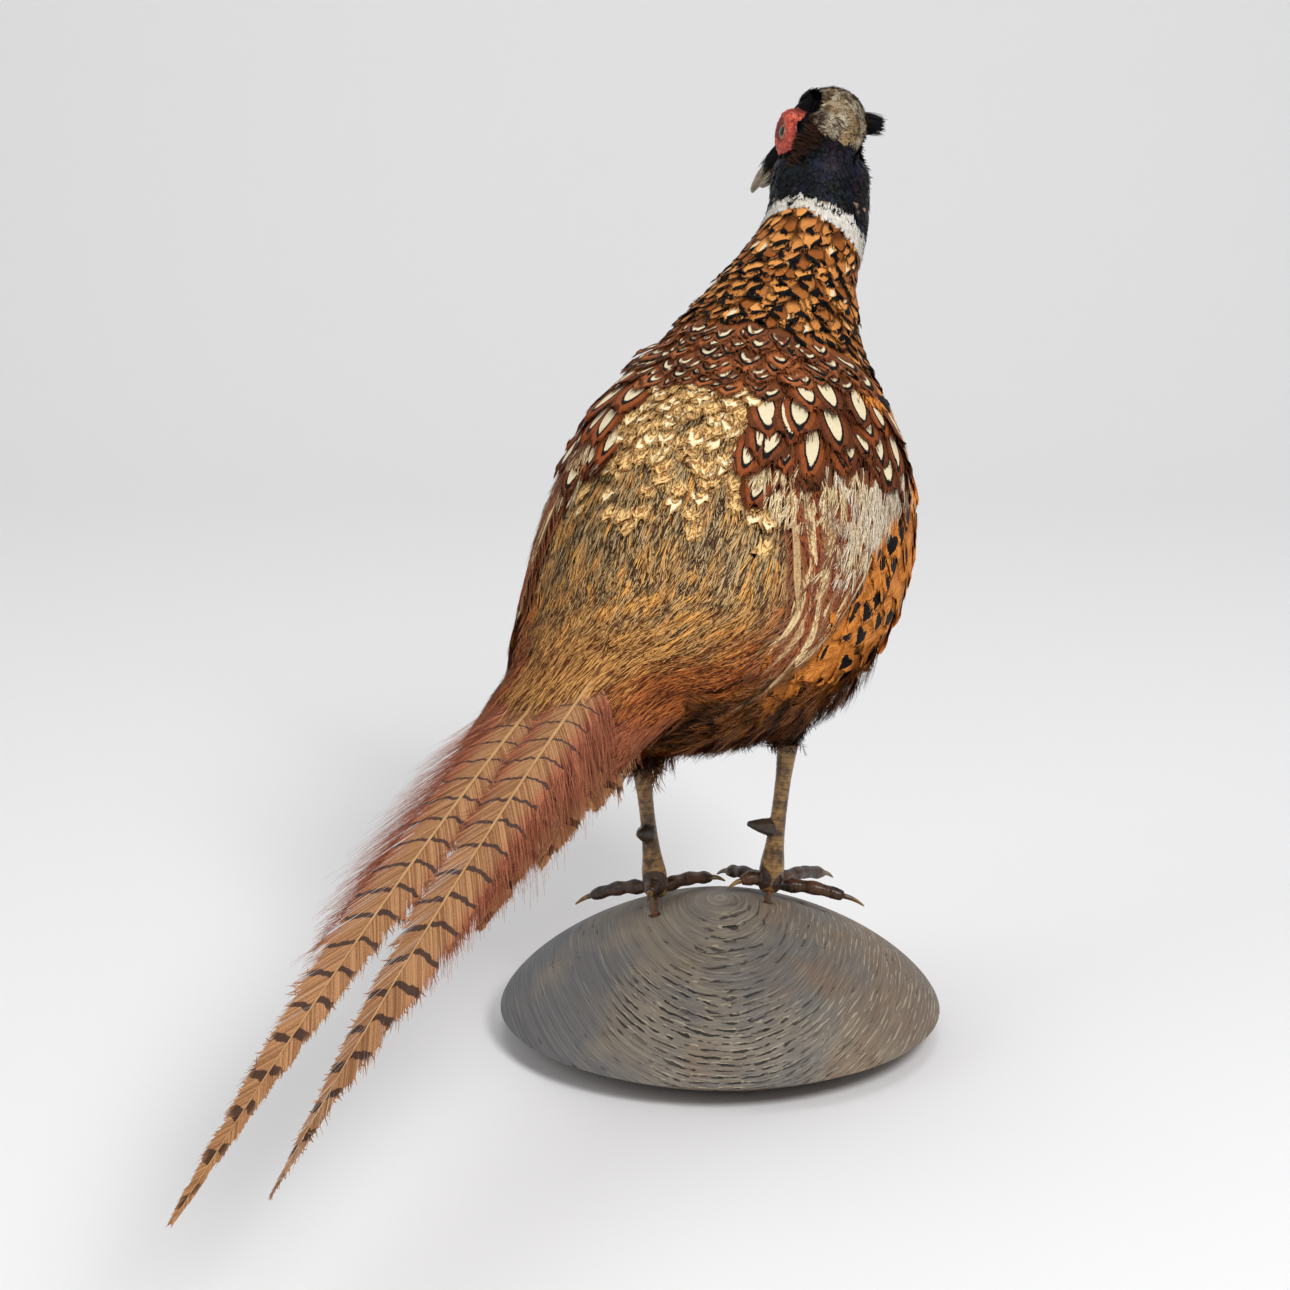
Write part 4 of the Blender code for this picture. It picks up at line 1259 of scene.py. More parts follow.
def coat_mantle(form):
    ringed = paint_ringed((174, 98, 52), (242, 226, 186), (118, 66, 40), (0.80, 0.60, 0.42),
                          varied=0.9, broken=0.5, opened=0.5)
    mantle = Coat("coat_mantle", feather_look("mantle_feathers", ringed))
    bed = scatter(form, on_mantle, 7.0, 6.8, (3.7, 5.7))
    lay_vanes(mantle, bed, 20.0, 10.5, lifts=(0.3, 4.0), rows=8, columns=8, ragged=0.08)
    mantle.finish()


def long_rows(form, coat, rows):
    """Rows of long wing feathers that sweep back to the point of each wing."""
    for _, side in SIDES:
        for count, reach, lift, width in rows:
            share = (np.arange(count) + 0.5 + rng.normal(0, ROW_STRAY, count)) / count
            share = np.clip(share, 0.02, 0.98)
            tip = 6.1 + (3.85 - 1.95 * share ** 1.2) * reach + rng.normal(0, 0.08, count)
            upper, lower = wing_edges(tip)
            inner = (1 - reach) * 0.5
            turn = upper + (lower - upper) * (inner + (1 - inner) * share ** 1.3)
            turn = np.where(tip > 9.3, (upper + lower) / 2, turn)
            bed = RunBed(form, (6.0 + 0.1 * share, side * (38 + 42 * share)),
                         (tip, side * turn), 1.2)
            low = lift + 0.5 * (1 - share[:, None])
            high = lift + 0.7 + 1.2 * (1 - share[:, None])
            lay_vanes(coat, bed, bed.length, width, lifts=(low, high), rows=18, columns=6,
                      rim=40, ragged=0.05, shape=WING_SHAPE, mirror=side)


def coat_scapulars(form):
    ringed = paint_ringed((150, 76, 34), (244, 228, 190), (206, 180, 134), (0.72, 0.58, 0.10),
                          varied=0.3, broken=0.2, slim=1.35, tall=1.45)
    shoulder = Coat("coat_scapulars", feather_look("scapular_feathers", ringed))
    bed = scatter(form, on_shoulder, 12.0, 9.6, (4.5, 6.3))
    lay_vanes(shoulder, bed, 30.0, 15.0, lifts=(0.6, 5.2), rows=10, columns=10, rim=34,
              ragged=0.08)
    shoulder.finish()


def coat_wings(form):
    for name, web, paint, rows in (("flight_feathers", "flight_web", paint_flight, FLIGHT_ROWS),
                                   ("wing_streaks", "streak_web", paint_streak, STREAK_ROWS)):
        coat = Coat(name, feather_look(web, paint, relief=0.3, fineness=30.0))
        long_rows(form, coat, rows)
        coat.finish()


def coat_coverts(form):
    """Loose hair over the roots of the long feathers and down the outer edge."""
    covert = Coat("coat_coverts", feather_look("covert_feathers", paint_coverts))
    bed = scatter(form, on_coverts, 6.0, 5.0, (6.0, 6.6))
    lay_hairs(covert, bed, 18.0, 4.6, lifts=(2.0, 5.0), barbs=8, thick=0.55, stray=0.3, leave=0.5)
    downy = scatter(form, on_downy, 6.4, 6.0, (5.7, 7.1))
    lay_hairs(covert, downy, 22.0, 5.0, lifts=(2.6, 5.4), barbs=8, thick=0.6, stray=0.4, leave=0.5)
    covert.finish()


def coat_flanks(form):
    flank = Coat("coat_flanks", feather_look("flank_feathers", paint_flank))
    bed = scatter(form, on_flank, 10.5, 10.0, (3.8, 10.6))
    lay_vanes(flank, bed, 32.0, 17.0, lifts=(0.5, 3.8), rows=9, columns=8, rim=40, ragged=0.07)
    flank.finish()

    orange = paint_hair((138, 74, 24), (232, 160, 84))
    loose = Coat("coat_flank_barbs", feather_look("flank_barbs", orange))
    bed = scatter(form, on_flank, 10.0, 10.0, (4.5, 10.8))
    lay_hairs(loose, bed, 24.0, 13.0, lifts=(0.6, 3.6), barbs=6, thick=0.34)
    loose.finish()


def coat_belly(form):
    belly = Coat("coat_belly", feather_look("belly_feathers", paint_belly))
    bed = scatter(form, on_belly, 5.2, 5.6, (5.5, 12.4))
    lay_hairs(belly, bed, 32.0, 10.0, lifts=(0.3, 4.5), barbs=9, thick=0.5)
    belly.finish()


def coat_back(form):
    """Barred feathers at the top, then ever longer hair down to the tail."""
    top = Coat("coat_back_top", feather_look("barred_feathers", paint_crescent))
    bed = scatter(form, on_back_top, 5.4, 5.8, (4.85, 7.1), unruly(12))
    lay_vanes(top, bed, 17.0, 9.5, lifts=(0.3, 3.6), rows=7, columns=6, rim=30, ragged=0.16)
    top.finish()

    look = feather_look("back_feathers", paint_back)
    for name, span in (("coat_back", (5.5, 8.4)), ("coat_rump", (8.4, 11.1))):
        coat = Coat(name, look)
        bed = scatter(form, beside_back, 4.2, 3.9, span, unruly(5))
        length = np.interp(bed.s, (5.5, 7, 9, 10.2, 11), (18, 32, 42, 40, 26))
        lay_hairs(coat, bed, length, 4.6, lifts=(0.3, 2.8), barbs=7, thick=0.66, points=4,
                  stray=0.3, leave=0.35)
        coat.finish()


# The tail -------------------------------------------------------------------------------------

class Shaft:
    """The line of one tail feather, read from its solid, as a bed for its vanes.

    Along is measured from the root, across towards the bird's left.
    """

    CLEAR = 1.6            # height of the vane over the skin
    EASE = 0.22            # slope at which it comes down to its own line

    def __init__(self, node, tree, twist=0.0):
        points = positions(NODES[node].data)
        self.start = points[points[:, 1].argmin()]
        chord = points[points[:, 1].argmax()] - self.start
        self.length = np.linalg.norm(chord)
        self.twist = twist
        share = (points - self.start) @ chord / self.length ** 2
        self.fits = [np.polyfit(share, points[:, k], 3) for k in range(3)]
        rest = points - self.middle(share)
        left = np.linalg.svd(rest - rest.mean(0), full_matrices=False)[2][0]
        self.left = left * np.sign(left[0])
        up = np.cross(chord / self.length, self.left)
        self.up = up * np.sign(up[2])
        self.tree = tree
        self.marks = np.linspace(0, 1, 91)
        self.rises = self.find_rises()

    def middle(self, share):
        return np.stack([np.polyval(fit, share) for fit in self.fits], -1)

    def find_rises(self):
        """How far the vane must rise to clear the skin over its root."""
        heights = np.full(len(self.marks), -99.0)
        for i, centre in enumerate(self.middle(self.marks)):
            for across in (-12, -6, 0, 6, 12):
                top = Vector(centre + self.left * across + self.up * 60)
                hit = self.tree.ray_cast(top, Vector(-self.up), 90.0)[0]
                if hit is not None:
                    height = (np.array(hit) - centre) @ self.up + across ** 2 * VANE_DROOP
                    heights[i] = max(heights[i], height + self.CLEAR)
        away = abs(self.marks[:, None] - self.marks[None]) * self.length
        return np.maximum((heights[None] - self.EASE * away).max(1), 0)

    def put(self, x, y, lift):
        share = x / self.length
        turn = np.radians(self.twist) * np.clip((share - 0.5) / 0.5, 0, 1) ** 1.5
        level = lift + np.interp(share, self.marks, self.rises) - y ** 2 * VANE_DROOP
        aside = y * np.cos(turn) - lift * np.sin(turn)
        level = level + y * np.sin(turn)
        return (self.middle(share) + self.left * aside[..., None] + self.up * level[..., None])


class StripBed:
    """Keeps the place and the facts of each barb of a vane."""

    def __init__(self, home, root):
        self.home, self.root, self.count = home, root, len(home)


def tail_width(share, narrow):
    """Half width along a tail feather as a share of its greatest."""
    return np.interp(share, (0, 0.12, 0.4, 0.62, 0.82, 0.93, 1.0),
                     (0.8, 1.0, 0.92, 0.72 * narrow + 0.1, 0.42 * narrow, 0.22 * narrow, 0.05))


def add_barbs(coat, shaft, side, share, middle, breadth, width, place_on_map):
    """Adds barbs as strips: share is where they leave the shaft, middle their x, y and lift."""
    x, y, lift = middle
    count, points = x.shape
    x = np.stack([x - breadth, x + breadth], -1).reshape(count, -1)
    x = np.minimum(x, shaft.length + TIP_SPARE)
    y = np.repeat(y, 2, -1) * side
    home = np.stack([np.full(count, place_on_map), share], -1)
    root = np.stack([rng.random(count), np.full(count, shaft.length), width], -1)
    p = np.linspace(0, 1, points)
    local = np.stack([np.repeat(p, 2) * 0.5, np.tile([0.0, 1.0], points)], -1)[None]
    places = shaft.put(x, y, np.repeat(lift, 2, -1))
    coat.add(places, strip_faces(points - 1), np.stack([y, x], -1), local, StripBed(home, root))


def lay_strips(coat, shaft, side, vane_width, fringe, place_on_map, narrow=1.0):
    """One side of a tail feather: close barbs that come loose past the vane's edge."""
    x0 = np.arange(TAIL_START, shaft.length - 1, BARB_SPACING)
    count = len(x0)
    share = x0 / shaft.length
    clump = np.repeat(rng.normal(0, 1, count // CLUMP + 1), CLUMP)[:count]
    width = vane_width * tail_width(share, narrow) * (1 + 0.07 * clump)
    loose = fringe * np.interp(share, (0, 0.25, 0.45, 0.62, 1), (1, 0.85, 0.35, 0.08, 0.02))
    loose = loose * rng.uniform(0.3, 1.1, count) + rng.uniform(0, 0.6, count) * (share < 0.9)
    p = np.linspace(0, 1, 8)[None]
    y = (width + loose)[:, None] * p
    beyond = np.clip((y - width[:, None]) / np.maximum(loose, 1)[:, None], 0, 1)
    slope = np.interp(share, (0, 1), (1.4, 2.6))[:, None]
    x = x0[:, None] + y * slope + 0.012 * y ** 2
    x = x + (clump * 0.9)[:, None] * (y / vane_width) ** 2
    x = x + rng.normal(0, 2.2, (count, 1)) * beyond
    lift = rng.normal(0, 0.08, (count, 1)) + rng.normal(0, 1.5, (count, 1)) * beyond
    breadth = 0.62 - 0.5 * np.clip(beyond * 3 + 0.25 * p, 0, 1)
    add_barbs(coat, shaft, side, share, (x, y, lift), breadth, width, place_on_map)


def lay_fringe(coat, shaft, side, start, reach, place_on_map):
    """Loose hair-like barbs beside the outer vane over the first half of a feather."""
    x0 = np.arange(TAIL_START, shaft.length * FRINGE_END, FRINGE_SPACING)
    count = len(x0)
    share = x0 / shaft.length
    size = reach * np.interp(share, (0, 0.25, 0.42, FRINGE_END), (1.1, 0.9, 0.5, 0.1))
    size = (size * rng.uniform(0.35, 1.1, count))[:, None]
    p = np.linspace(0, 1, 5)[None]
    y = start * 0.8 + size * p
    x = x0[:, None] + y * 1.3 + size * p * rng.normal(0.9, 0.35, (count, 1))
    lift = rng.normal(0.2, 0.6, (count, 1)) + rng.normal(-0.5, 1.6, (count, 1)) * p
    breadth = 0.22 * (1 - 0.7 * p)
    add_barbs(coat, shaft, side, share, (x, y, lift), breadth, np.zeros(count), place_on_map)


def lay_ridge(coat, shaft, thick, place_on_map):
    """The pale shaft itself, a low ridge that thins to the tip."""
    rows = 70
    share = np.linspace(TAIL_START / shaft.length, 0.985, rows + 1)
    half = thick / 2 * (1 - 0.85 * share)
    corners = np.array([-1.0, -0.6, 0.6, 1.0])
    rises = np.array([0.2, 1.3, 1.3, 0.2])
    x = np.repeat(share * shaft.length, 4)[None]
    y = (half[:, None] * corners).reshape(1, -1)
    lift = (half[:, None] * rises).reshape(1, -1) + 0.15
    vane = np.stack([np.tile(corners, rows + 1), np.repeat(share, 4)], -1)[None]
    bed = StripBed(np.array([[place_on_map, 0.5]]), np.array([[0.5, 0.0, 0.0]]))
    coat.add(shaft.put(x, y, lift), grid_faces(rows, 3), vane, vane * (0.5, 1.0), bed)


def make_tail(tree):
    vanes = feather_look("tail_vanes", paint_tail, relief=0.2, fineness=2.0)
    ridges = Coat("tail_shafts", feather_look("tail_shaft", paint_shaft), "tail_vane")
    for kind, (inner, outer, fringe) in TAIL_VANES.items():
        coat = Coat("tail_" + kind + "_vanes", vanes, "tail_vane")
        nodes = []
        for number, (side_name, side) in enumerate(SIDES):
            node = "tail_%s_%s" % (kind, side_name)
            nodes.append(node)
            shaft = Shaft(node, tree, TWISTS.get(node, 0.0))
            spot = (list(TAIL_VANES).index(kind) * 2 + number + 0.5) / 8
            narrow = NARROWING.get(node, 1.0)
            lay_strips(coat, shaft, side, outer, fringe, spot + 0.03, narrow)
            lay_strips(coat, shaft, -side, inner, INNER_FRINGE, spot - 0.03, narrow)
            lay_fringe(coat, shaft, side, outer, fringe, spot + 0.05)
            lay_ridge(ridges, shaft, SHAFT_WIDTH, spot)
        coat.finish(nodes)
    ridges.finish()


def outward_heading(angles):
    return np.sign(wrapped(angles)) * 3


def make_tail_coverts(form):
    """Rufous hair on both sides of the tail's root."""
    coat = Coat("coat_tail_coverts", feather_look("tail_coverts", paint_hair(
        (92, 42, 26), (190, 116, 80))))
    bed = scatter(form, beside_tail, 3.2, 3.2, (10.2, 12.0), outward_heading)
    lay_hairs(coat, bed, 50.0, 8.0, lifts=(0.4, 2.6), barbs=9, thick=0.4, stray=0.4, leave=0.5)
    coat.finish()


# The head -------------------------------------------------------------------------------------

def head_chart(points):
    """Place on the unwrap of a ball round the head."""
    away = points - np.array(HEAD_CENTRE)
    turn = np.degrees(np.arctan2(away[:, 1], away[:, 0]))
    rise = away[:, 2] / np.linalg.norm(away, axis=1)
    return np.stack([(turn + 180) % 360 / 360, (rise + 1) / 2], -1)


def head_places(points):
    """Points as forward, left and up in the head's own directions."""
    return (points - np.array(HEAD_CENTRE)) @ np.stack(head_axes()).T


def skin_roots(skin, inside, share=1.0, jitter=0.7):
    """The skin's own corners that inside() accepts, moved a little, with their normals."""
    points, normals = positions(skin), corner_values(skin, "normal")
    keep = inside(points, normals) & (rng.random(len(points)) < share)
    return points[keep] + rng.normal(0, jitter, (keep.sum(), 3)), normals[keep]


def in_crown(points, normals):
    """The grey patch on the crown and the back of the head; its edge is ragged."""
    way = unit(head_places(points))
    facing = way @ unit(np.array(CROWN_WAY))
    ahead, side, height = head_places(points).T
    bare = (abs(ahead - FOLD_CENTRE[0]) < FOLD_SIZE[0]) & (abs(side) > 9)
    bare = bare & (abs(height - FOLD_CENTRE[1]) < FOLD_SIZE[1] + 1)
    grey = facing > CROWN_EDGE + rng.normal(0, 0.05, len(points))
    return grey & ~bare & near_head(points, normals)


def near_head(points, normals):
    away = np.linalg.norm(points - np.array(HEAD_CENTRE), axis=1)
    return (away < HEAD_RADIUS) & (points[:, 2] > HEAD_CENTRE[2] - HEAD_DROP)


def head_flow(points):
    """Away from the bill and down to the neck."""
    back = points - (np.array(HEAD_CENTRE) + head_axes()[0] * BILL_ROOT)
    return unit(back) + np.array(FALL)


def on_face(points, normals):
    """The head, but not the root of the bill."""
    return near_head(points, normals) & (head_places(points)[:, 0] < FACE_END)


def make_head_coat(skin, tree):
    gloss = feather_look("head_feathers", paint_gloss, relief=0.12, roughness=0.42, gloss=0.2)
    dark = Coat("coat_head", gloss, "dark_plumage")
    points, normals = skin_roots(skin, on_face, 0.9)
    bed = FreeBed(tree, points, normals, head_flow(points), head_chart)
    lay_vanes(dark, bed, 5.2, 3.2, lifts=(0.1, 0.8), rows=4, columns=4, rim=10)
    dark.finish()

    crown = Coat("coat_crown", feather_look("crown_feathers", paint_crown))
    points, normals = skin_roots(skin, in_crown)
    bed = FreeBed(tree, points, normals, head_flow(points), head_chart, wander=18)
    lay_hairs(crown, bed, 7.0, 3.2, lifts=(0.7, 2.4), barbs=7, thick=0.45, points=3, stray=0.4)
    crown.finish()


def bundle(coat, root, tip, radii, count, thick, stray):
    """Bristles from round one place to round another."""
    root, tip = np.array(root), np.array(tip)
    way = tip - root
    side = unit(np.cross(way, (0.3, 0.2, 1.0)))
    rise = unit(np.cross(side, way))
    turn, out = rng.uniform(0, math.tau, count), np.sqrt(rng.random(count))
    disc = side * (np.cos(turn) * out)[:, None] + rise * (np.sin(turn) * out)[:, None]
    start = root + disc * radii[0]
    end = tip + disc * radii[1] + rng.normal(0, stray, (count, 3))
    end = end - way * rng.uniform(-0.06, 0.22, (count, 1)) * (0.4 + out[:, None])
    p = np.linspace(0, 1, 5)[None, :, None]
    bow = disc[:, None] * (np.sin(p * math.pi) * (radii[0] + radii[1]) * 0.2)
    middle = start[:, None] * (1 - p) + end[:, None] * p + bow
    breadth = thick / 2 * (1 - 0.6 * p ** 2)
    flat = unit(np.cross(end - start, disc + 1e-6))[:, None]
    places = np.stack([middle - flat * breadth, middle + flat * breadth], 2)
    places = places.reshape(count, 10, 3)
    vane = np.stack([np.tile([-1.0, 1.0], 5), np.repeat(p.ravel(), 2)], -1)[None]
    bed = StripBed(head_chart(start), np.stack([rng.random(count)] * 3, -1))
    coat.add(places, strip_faces(4), vane, vane * (0.5, 1.0), bed)


def head_point(forward, left, up):
    axes = head_axes()
    return np.array(HEAD_CENTRE) + axes[0] * forward + axes[1] * left + axes[2] * up


def node_tree(name):
    mesh = NODES[name].data
    return surface_tree(mesh, positions(mesh))


def head_side(trees, ahead, side, height, lift):
    """The outermost point on one side of the head, raised a little."""
    start = head_point(ahead, side * 32.0, height)
    inward = Vector(head_axes()[1] * -side)
    met = [tree.ray_cast(Vector(start), inward) for tree in trees]
    near = min([hit[3] for hit in met if hit[0] is not None], default=18.0)
    return start + np.array(inward) * (near - lift)


def dark_coat(name, material, low, high):
    return Coat(name, feather_look(material, paint_hair(low, high)), "dark_plumage")


def make_ear_tufts():
    tufts = dark_coat("ear_tufts", "tuft_feathers", (5, 5, 7), (34, 32, 36))
    for (_, side), (root, tip, ends) in zip(SIDES, TUFTS):
        bundle(tufts, head_point(root[0], root[1] * side, root[2]),
               head_point(tip[0], tip[1] * side, tip[2]), ends, *TUFT_BRISTLES)
    tufts.finish(["ear_tuft_left", "ear_tuft_right"])


def make_cheeks(tree):
    """Short brown bristles below and behind each wattle."""
    brown = dark_coat("cheek_bristles", "bristle_feathers", (26, 16, 12), (84, 54, 38))
    for side_name, side in SIDES:
        cheek = [tree, node_tree("wattle_" + side_name)]
        for down, back in rng.random((CHEEK_BUNDLES, 2)):
            ahead, height = -11.0 + 20.0 * down - 2.0 * back, 1.0 - 14.0 * down - 5.0 * back
            root = head_side(cheek, ahead, side, height, 0.3)
            tip = head_side(cheek, ahead - 5.0, side, height - 4.5, 1.6)
            bundle(brown, root, tip, (1.1, 1.5), *CHEEK_BRISTLES)
    brown.finish()


def make_throat():
    """Black bristles round the bill's root, which run forward along it."""
    black = dark_coat("throat_bristles", "throat_feathers", (6, 6, 8), (40, 36, 36))
    for turn in rng.uniform(0, math.tau, THROAT_BUNDLES):
        aside, rise = math.cos(turn), math.sin(turn)
        low = 1.0 + 0.35 * max(-rise, 0)
        root = head_point(20.0, 8.5 * aside, 7.5 * rise * low)
        reach = np.interp(rise, (-1, 0.3, 1), (15, 15, 9)) + rng.normal(0, 1.6)
        tip = head_point(20.0 + reach, 6.9 * aside, 6.2 * rise * low - 2.0)
        bundle(black, root, tip, (1.6, 1.5), *THROAT_BRISTLES)
    black.finish()


def wrinkle(mesh, depth, pitch):
    """Pushes a mesh in and out by noise, as warty skin is."""
    points, normals = positions(mesh), corner_values(mesh, "normal")
    swell = np.array([noise.noise(Vector(p / pitch)) for p in points])
    fine = np.array([noise.noise(Vector(p / pitch * 2.7)) for p in points])
    move_corners(mesh, points + normals * (depth * (swell + 0.5 * fine - 0.3))[:, None])


def wattle_look():
    look = Look("wattle", roughness=0.55)
    specks = look.noise(look.place(), 900.0, 2.0)
    broad = look.noise(look.place(), 180.0, 2.0)
    tone = look.fade(broad, 0.35, 0.65, (150, 44, 30), (214, 88, 64))
    tone = look.fade(specks, 0.58, 0.68, tone, (84, 26, 22))
    look.colour(look.fade(specks, 0.36, 0.3, tone, (230, 136, 112)))
    look.bump(specks, 0.3)
    return look.made


def horn_look():
    look = Look("bill_horn", roughness=0.4)
    grain = look.noise(look.place(), 260.0, 4.0)
    tone = look.fade(grain, 0.3, 0.7, (126, 114, 92), (178, 168, 142))
    look.colour(tone)
    look.bump(grain, 0.15)
    return look.made


def eye_look():
    """Amber iris and black pupil; Polar is the angle from the way the eye looks."""
    look = Look("eyeball", roughness=0.06)
    look.shader.inputs["Coat Weight"].default_value = 1.0
    angle = look.node("Attribute", output=2, attribute_name="Polar")
    fibres = look.noise(look.place(), 1600.0, 2.0)
    iris = look.mix(fibres, (120, 58, 14), (206, 122, 38))
    tone = look.fade(angle, 23.0, 25.0, (4, 4, 5), iris)
    look.colour(look.fade(angle, 46.0, 50.0, tone, (30, 20, 16)))
    return look.made


def frame_of(way):
    """One direction and two across it."""
    way = unit(np.array(way))
    side = unit(np.cross(way, (0.1, 0.3, 1.0)))
    return way, side, np.cross(way, side)


def ball(name, centre, radius, way, look, slot, replaced=()):
    """A ball with the angle from one direction kept at each corner."""
    rings, segments = 28, 40
    way, side, rise = frame_of(way)
    polar = np.radians(np.linspace(0.5, 179.5, rings + 1))
    turn = np.linspace(0, math.tau, segments + 1)
    out = np.sin(polar)[:, None, None]
    places = (way * np.cos(polar)[:, None, None] + side * np.cos(turn)[None, :, None] * out
              + rise * np.sin(turn)[None, :, None] * out)
    mesh = new_mesh(name, np.array(centre) + places * radius, grid_faces(rings, segments))
    keep_values(mesh, "Polar", np.repeat(np.degrees(polar), segments + 1))
    piece(mesh, name, look, slot, replaced)


def ring(name, centre, way, radius, thick, look, slot):
    """A fleshy ring, as an eyelid is."""
    rounds, tubes = 40, 12
    way, side, rise = frame_of(way)
    around = np.linspace(0, math.tau, rounds + 1)[:, None, None]
    tube = np.linspace(0, math.tau, tubes + 1)[None, :, None]
    out = radius + thick * np.cos(tube)
    places = (side * np.cos(around) + rise * np.sin(around)) * out + way * thick * np.sin(tube)
    mesh = new_mesh(name, np.array(centre) + places, grid_faces(rounds, tubes))
    piece(mesh, name, look, slot)


def wattle_fold(side, cheek, look):
    """The part of the wattle that runs back over the ear, a low pad on the head."""
    rows, columns = 14, 48
    out, turn = np.meshgrid(np.linspace(0, 1, rows + 1), np.linspace(0, math.tau, columns + 1),
                            indexing="ij")
    ahead = FOLD_CENTRE[0] + FOLD_SIZE[0] * out * np.cos(turn)
    height = FOLD_CENTRE[1] + FOLD_SIZE[1] * out * np.sin(turn) - 0.3 * (ahead - FOLD_CENTRE[0])
    spots = list(zip(ahead.flat, height.flat))
    warts = np.array([noise.noise(Vector((a, h, 5.0 * side)) / 1.2) for a, h in spots])
    lifts = FOLD_HEIGHT * (1 - out.ravel() ** 4) + 0.5 * warts - 0.4
    points = [head_side(cheek, a, side, h, lift) for (a, h), lift in zip(spots, lifts)]
    mesh = new_mesh("wattle_fold", points, grid_faces(rows, columns))
    piece(mesh, "wattle_fold", look, "wattle_skin")


def make_eye(side_name, side, eyeball, lid, fleshy):
    """An eye with its lid, and the corner of the gape on the same side."""
    forward, left, up = head_axes()
    points = positions(NODES["eye_" + side_name].data)
    centre = (points.min(0) + points.max(0)) / 2 - left * side * EYE_DEPTH
    way = left * side + forward * EYE_AHEAD + up * EYE_UP
    ball("eyeball_" + side_name, centre, EYE_RADIUS, way, eyeball, "eye", ["eye_" + side_name])
    ring("eyelid_" + side_name, centre + unit(way) * LID_OUT, way, *LID_SIZE, lid, "wattle_skin")
    corner = head_point(GAPE_CORNER[0], side * GAPE_CORNER[1], GAPE_CORNER[2])
    ball("gape_" + side_name, corner, GAPE_RADIUS, way, fleshy, "wattle_skin")


def make_face(tree):
    red, horn, eyeball = wattle_look(), horn_look(), eye_look()
    lid = plain_look("eyelid", (128, 44, 34), 0.5)
    fleshy = plain_look("gape_skin", (222, 168, 118), 0.5)
    for side_name, side in SIDES:
        node = "wattle_" + side_name
        name = "wattle_skin_" + side_name
        mesh = rounded([node], name, 3)
        wrinkle(mesh, 0.45, 1.3)
        piece(mesh, name, red, "wattle_skin", [node])
        wattle_fold(side, [tree, node_tree(node)], red)
        make_eye(side_name, side, eyeball, lid, fleshy)
    for node in ("bill_upper", "bill_lower"):
        name = node + "_horn"
        piece(rounded([node], name, 2, HORN_SWELL), name, horn, "horn", [node])


# Legs -----------------------------------------------------------------------------------------

def line_of(node):
    """Root and tip of a long solid: the ends of its greatest length, the root the higher."""
    points = positions(NODES[node].data)
    middle = points.mean(0)
    way = np.linalg.svd(points - middle, full_matrices=False)[2][0]
    reach = (points - middle) @ way
    ends = middle + way * reach.min(), middle + way * reach.max()
    return sorted(ends, key=lambda end: -end[2])


def leg_look():
    """Golden olive shank and dark toes, with darker lines between the scales."""
    look = Look("leg_scales", roughness=0.36)
    along, toe, _ = look.parts(look.node("Attribute", output=1, attribute_name="Scale"))
    grain = look.noise(look.place(), 420.0, 3.0)
    broad = look.noise(look.place(), 130.0, 2.0)
    shade = look.step(grain * 0.4 + broad * 0.6, 0.36, 0.62)
    shank = look.mix(shade, (70, 46, 26), (160, 122, 68))
    dark = look.mix(shade, (20, 12, 9), (88, 56, 34))
    spur = look.mix(grain, (30, 25, 22), (82, 68, 54))
    tone = look.fade(toe, 0.3, 0.7, shank, dark)
    tone = look.fade(toe, 1.3, 1.7, tone, spur)
    seam = look.step(abs(look.math("FRACT", along) - 0.5), 0.36, 0.46)
    seam = seam * look.step(toe, 1.5, 1.3)
    look.colour(look.mix(seam * 0.45, tone, (38, 27, 18)))
    look.bump(grain, 0.2)
    return look.made


def nearest_parts(points, parts):
    """For each point the nearest part of the leg: its number, and how many scales along."""
    best = np.full(len(points), np.inf)
    along, found = np.zeros(len(points)), np.zeros(len(points), int)
    for number, (root, tip) in enumerate(parts):
        way = tip - root
        share = np.clip((points - root) @ way / (way @ way), 0, 1)
        away = np.linalg.norm(points - root - share[:, None] * way, axis=1)
        away = away + (SHANK_SHYNESS if number == 0 else 0.0)
        nearer = away < best
        pitch = SHANK_SCALE if number == 0 else TOE_SCALE
        best[nearer] = away[nearer]
        along[nearer] = (share * np.linalg.norm(way) / pitch)[nearer]
        found[nearer] = number
    return found, along


def scale_leg(mesh, shank, toes, spur):
    """Raised scales and knuckles; Scale keeps the count of scales, and the kind of part."""
    points = positions(mesh)
    found, along = nearest_parts(points, [shank] + toes + [spur])
    kind = np.where(found > len(toes), SPUR_KIND, np.where(found > 0, TOE_KIND, SHANK_KIND))
    raised = SCALE_HEIGHT * (1 - (2 * (along % 1) - 1) ** 6) * (kind != SPUR_KIND)
    knuckle = np.sin(math.pi * along * TOE_SCALE / KNUCKLE_PITCH) ** 2
    raised = raised + KNUCKLE_HEIGHT * knuckle * (kind == TOE_KIND)
    move_corners(mesh, points + corner_values(mesh, "normal") * raised[:, None])
    keep_values(mesh, "Scale", np.stack([along, kind, 0 * kind], -1))


def claw_look():
    look = Look("claw_horn", roughness=0.35)
    grain = look.noise(look.place(), 300.0, 3.0)
    look.colour(look.fade(grain, 0.3, 0.7, (66, 48, 28), (150, 116, 66)))
    look.bump(grain, 0.1)
    return look.made


def wire_look():
    look = Look("rusted_wire", roughness=0.55, metallic=0.6)
    rust = look.noise(look.place(), 500.0)
    look.colour(look.fade(rust, 0.4, 0.6, (90, 84, 78), (140, 84, 40)))
    return look.made


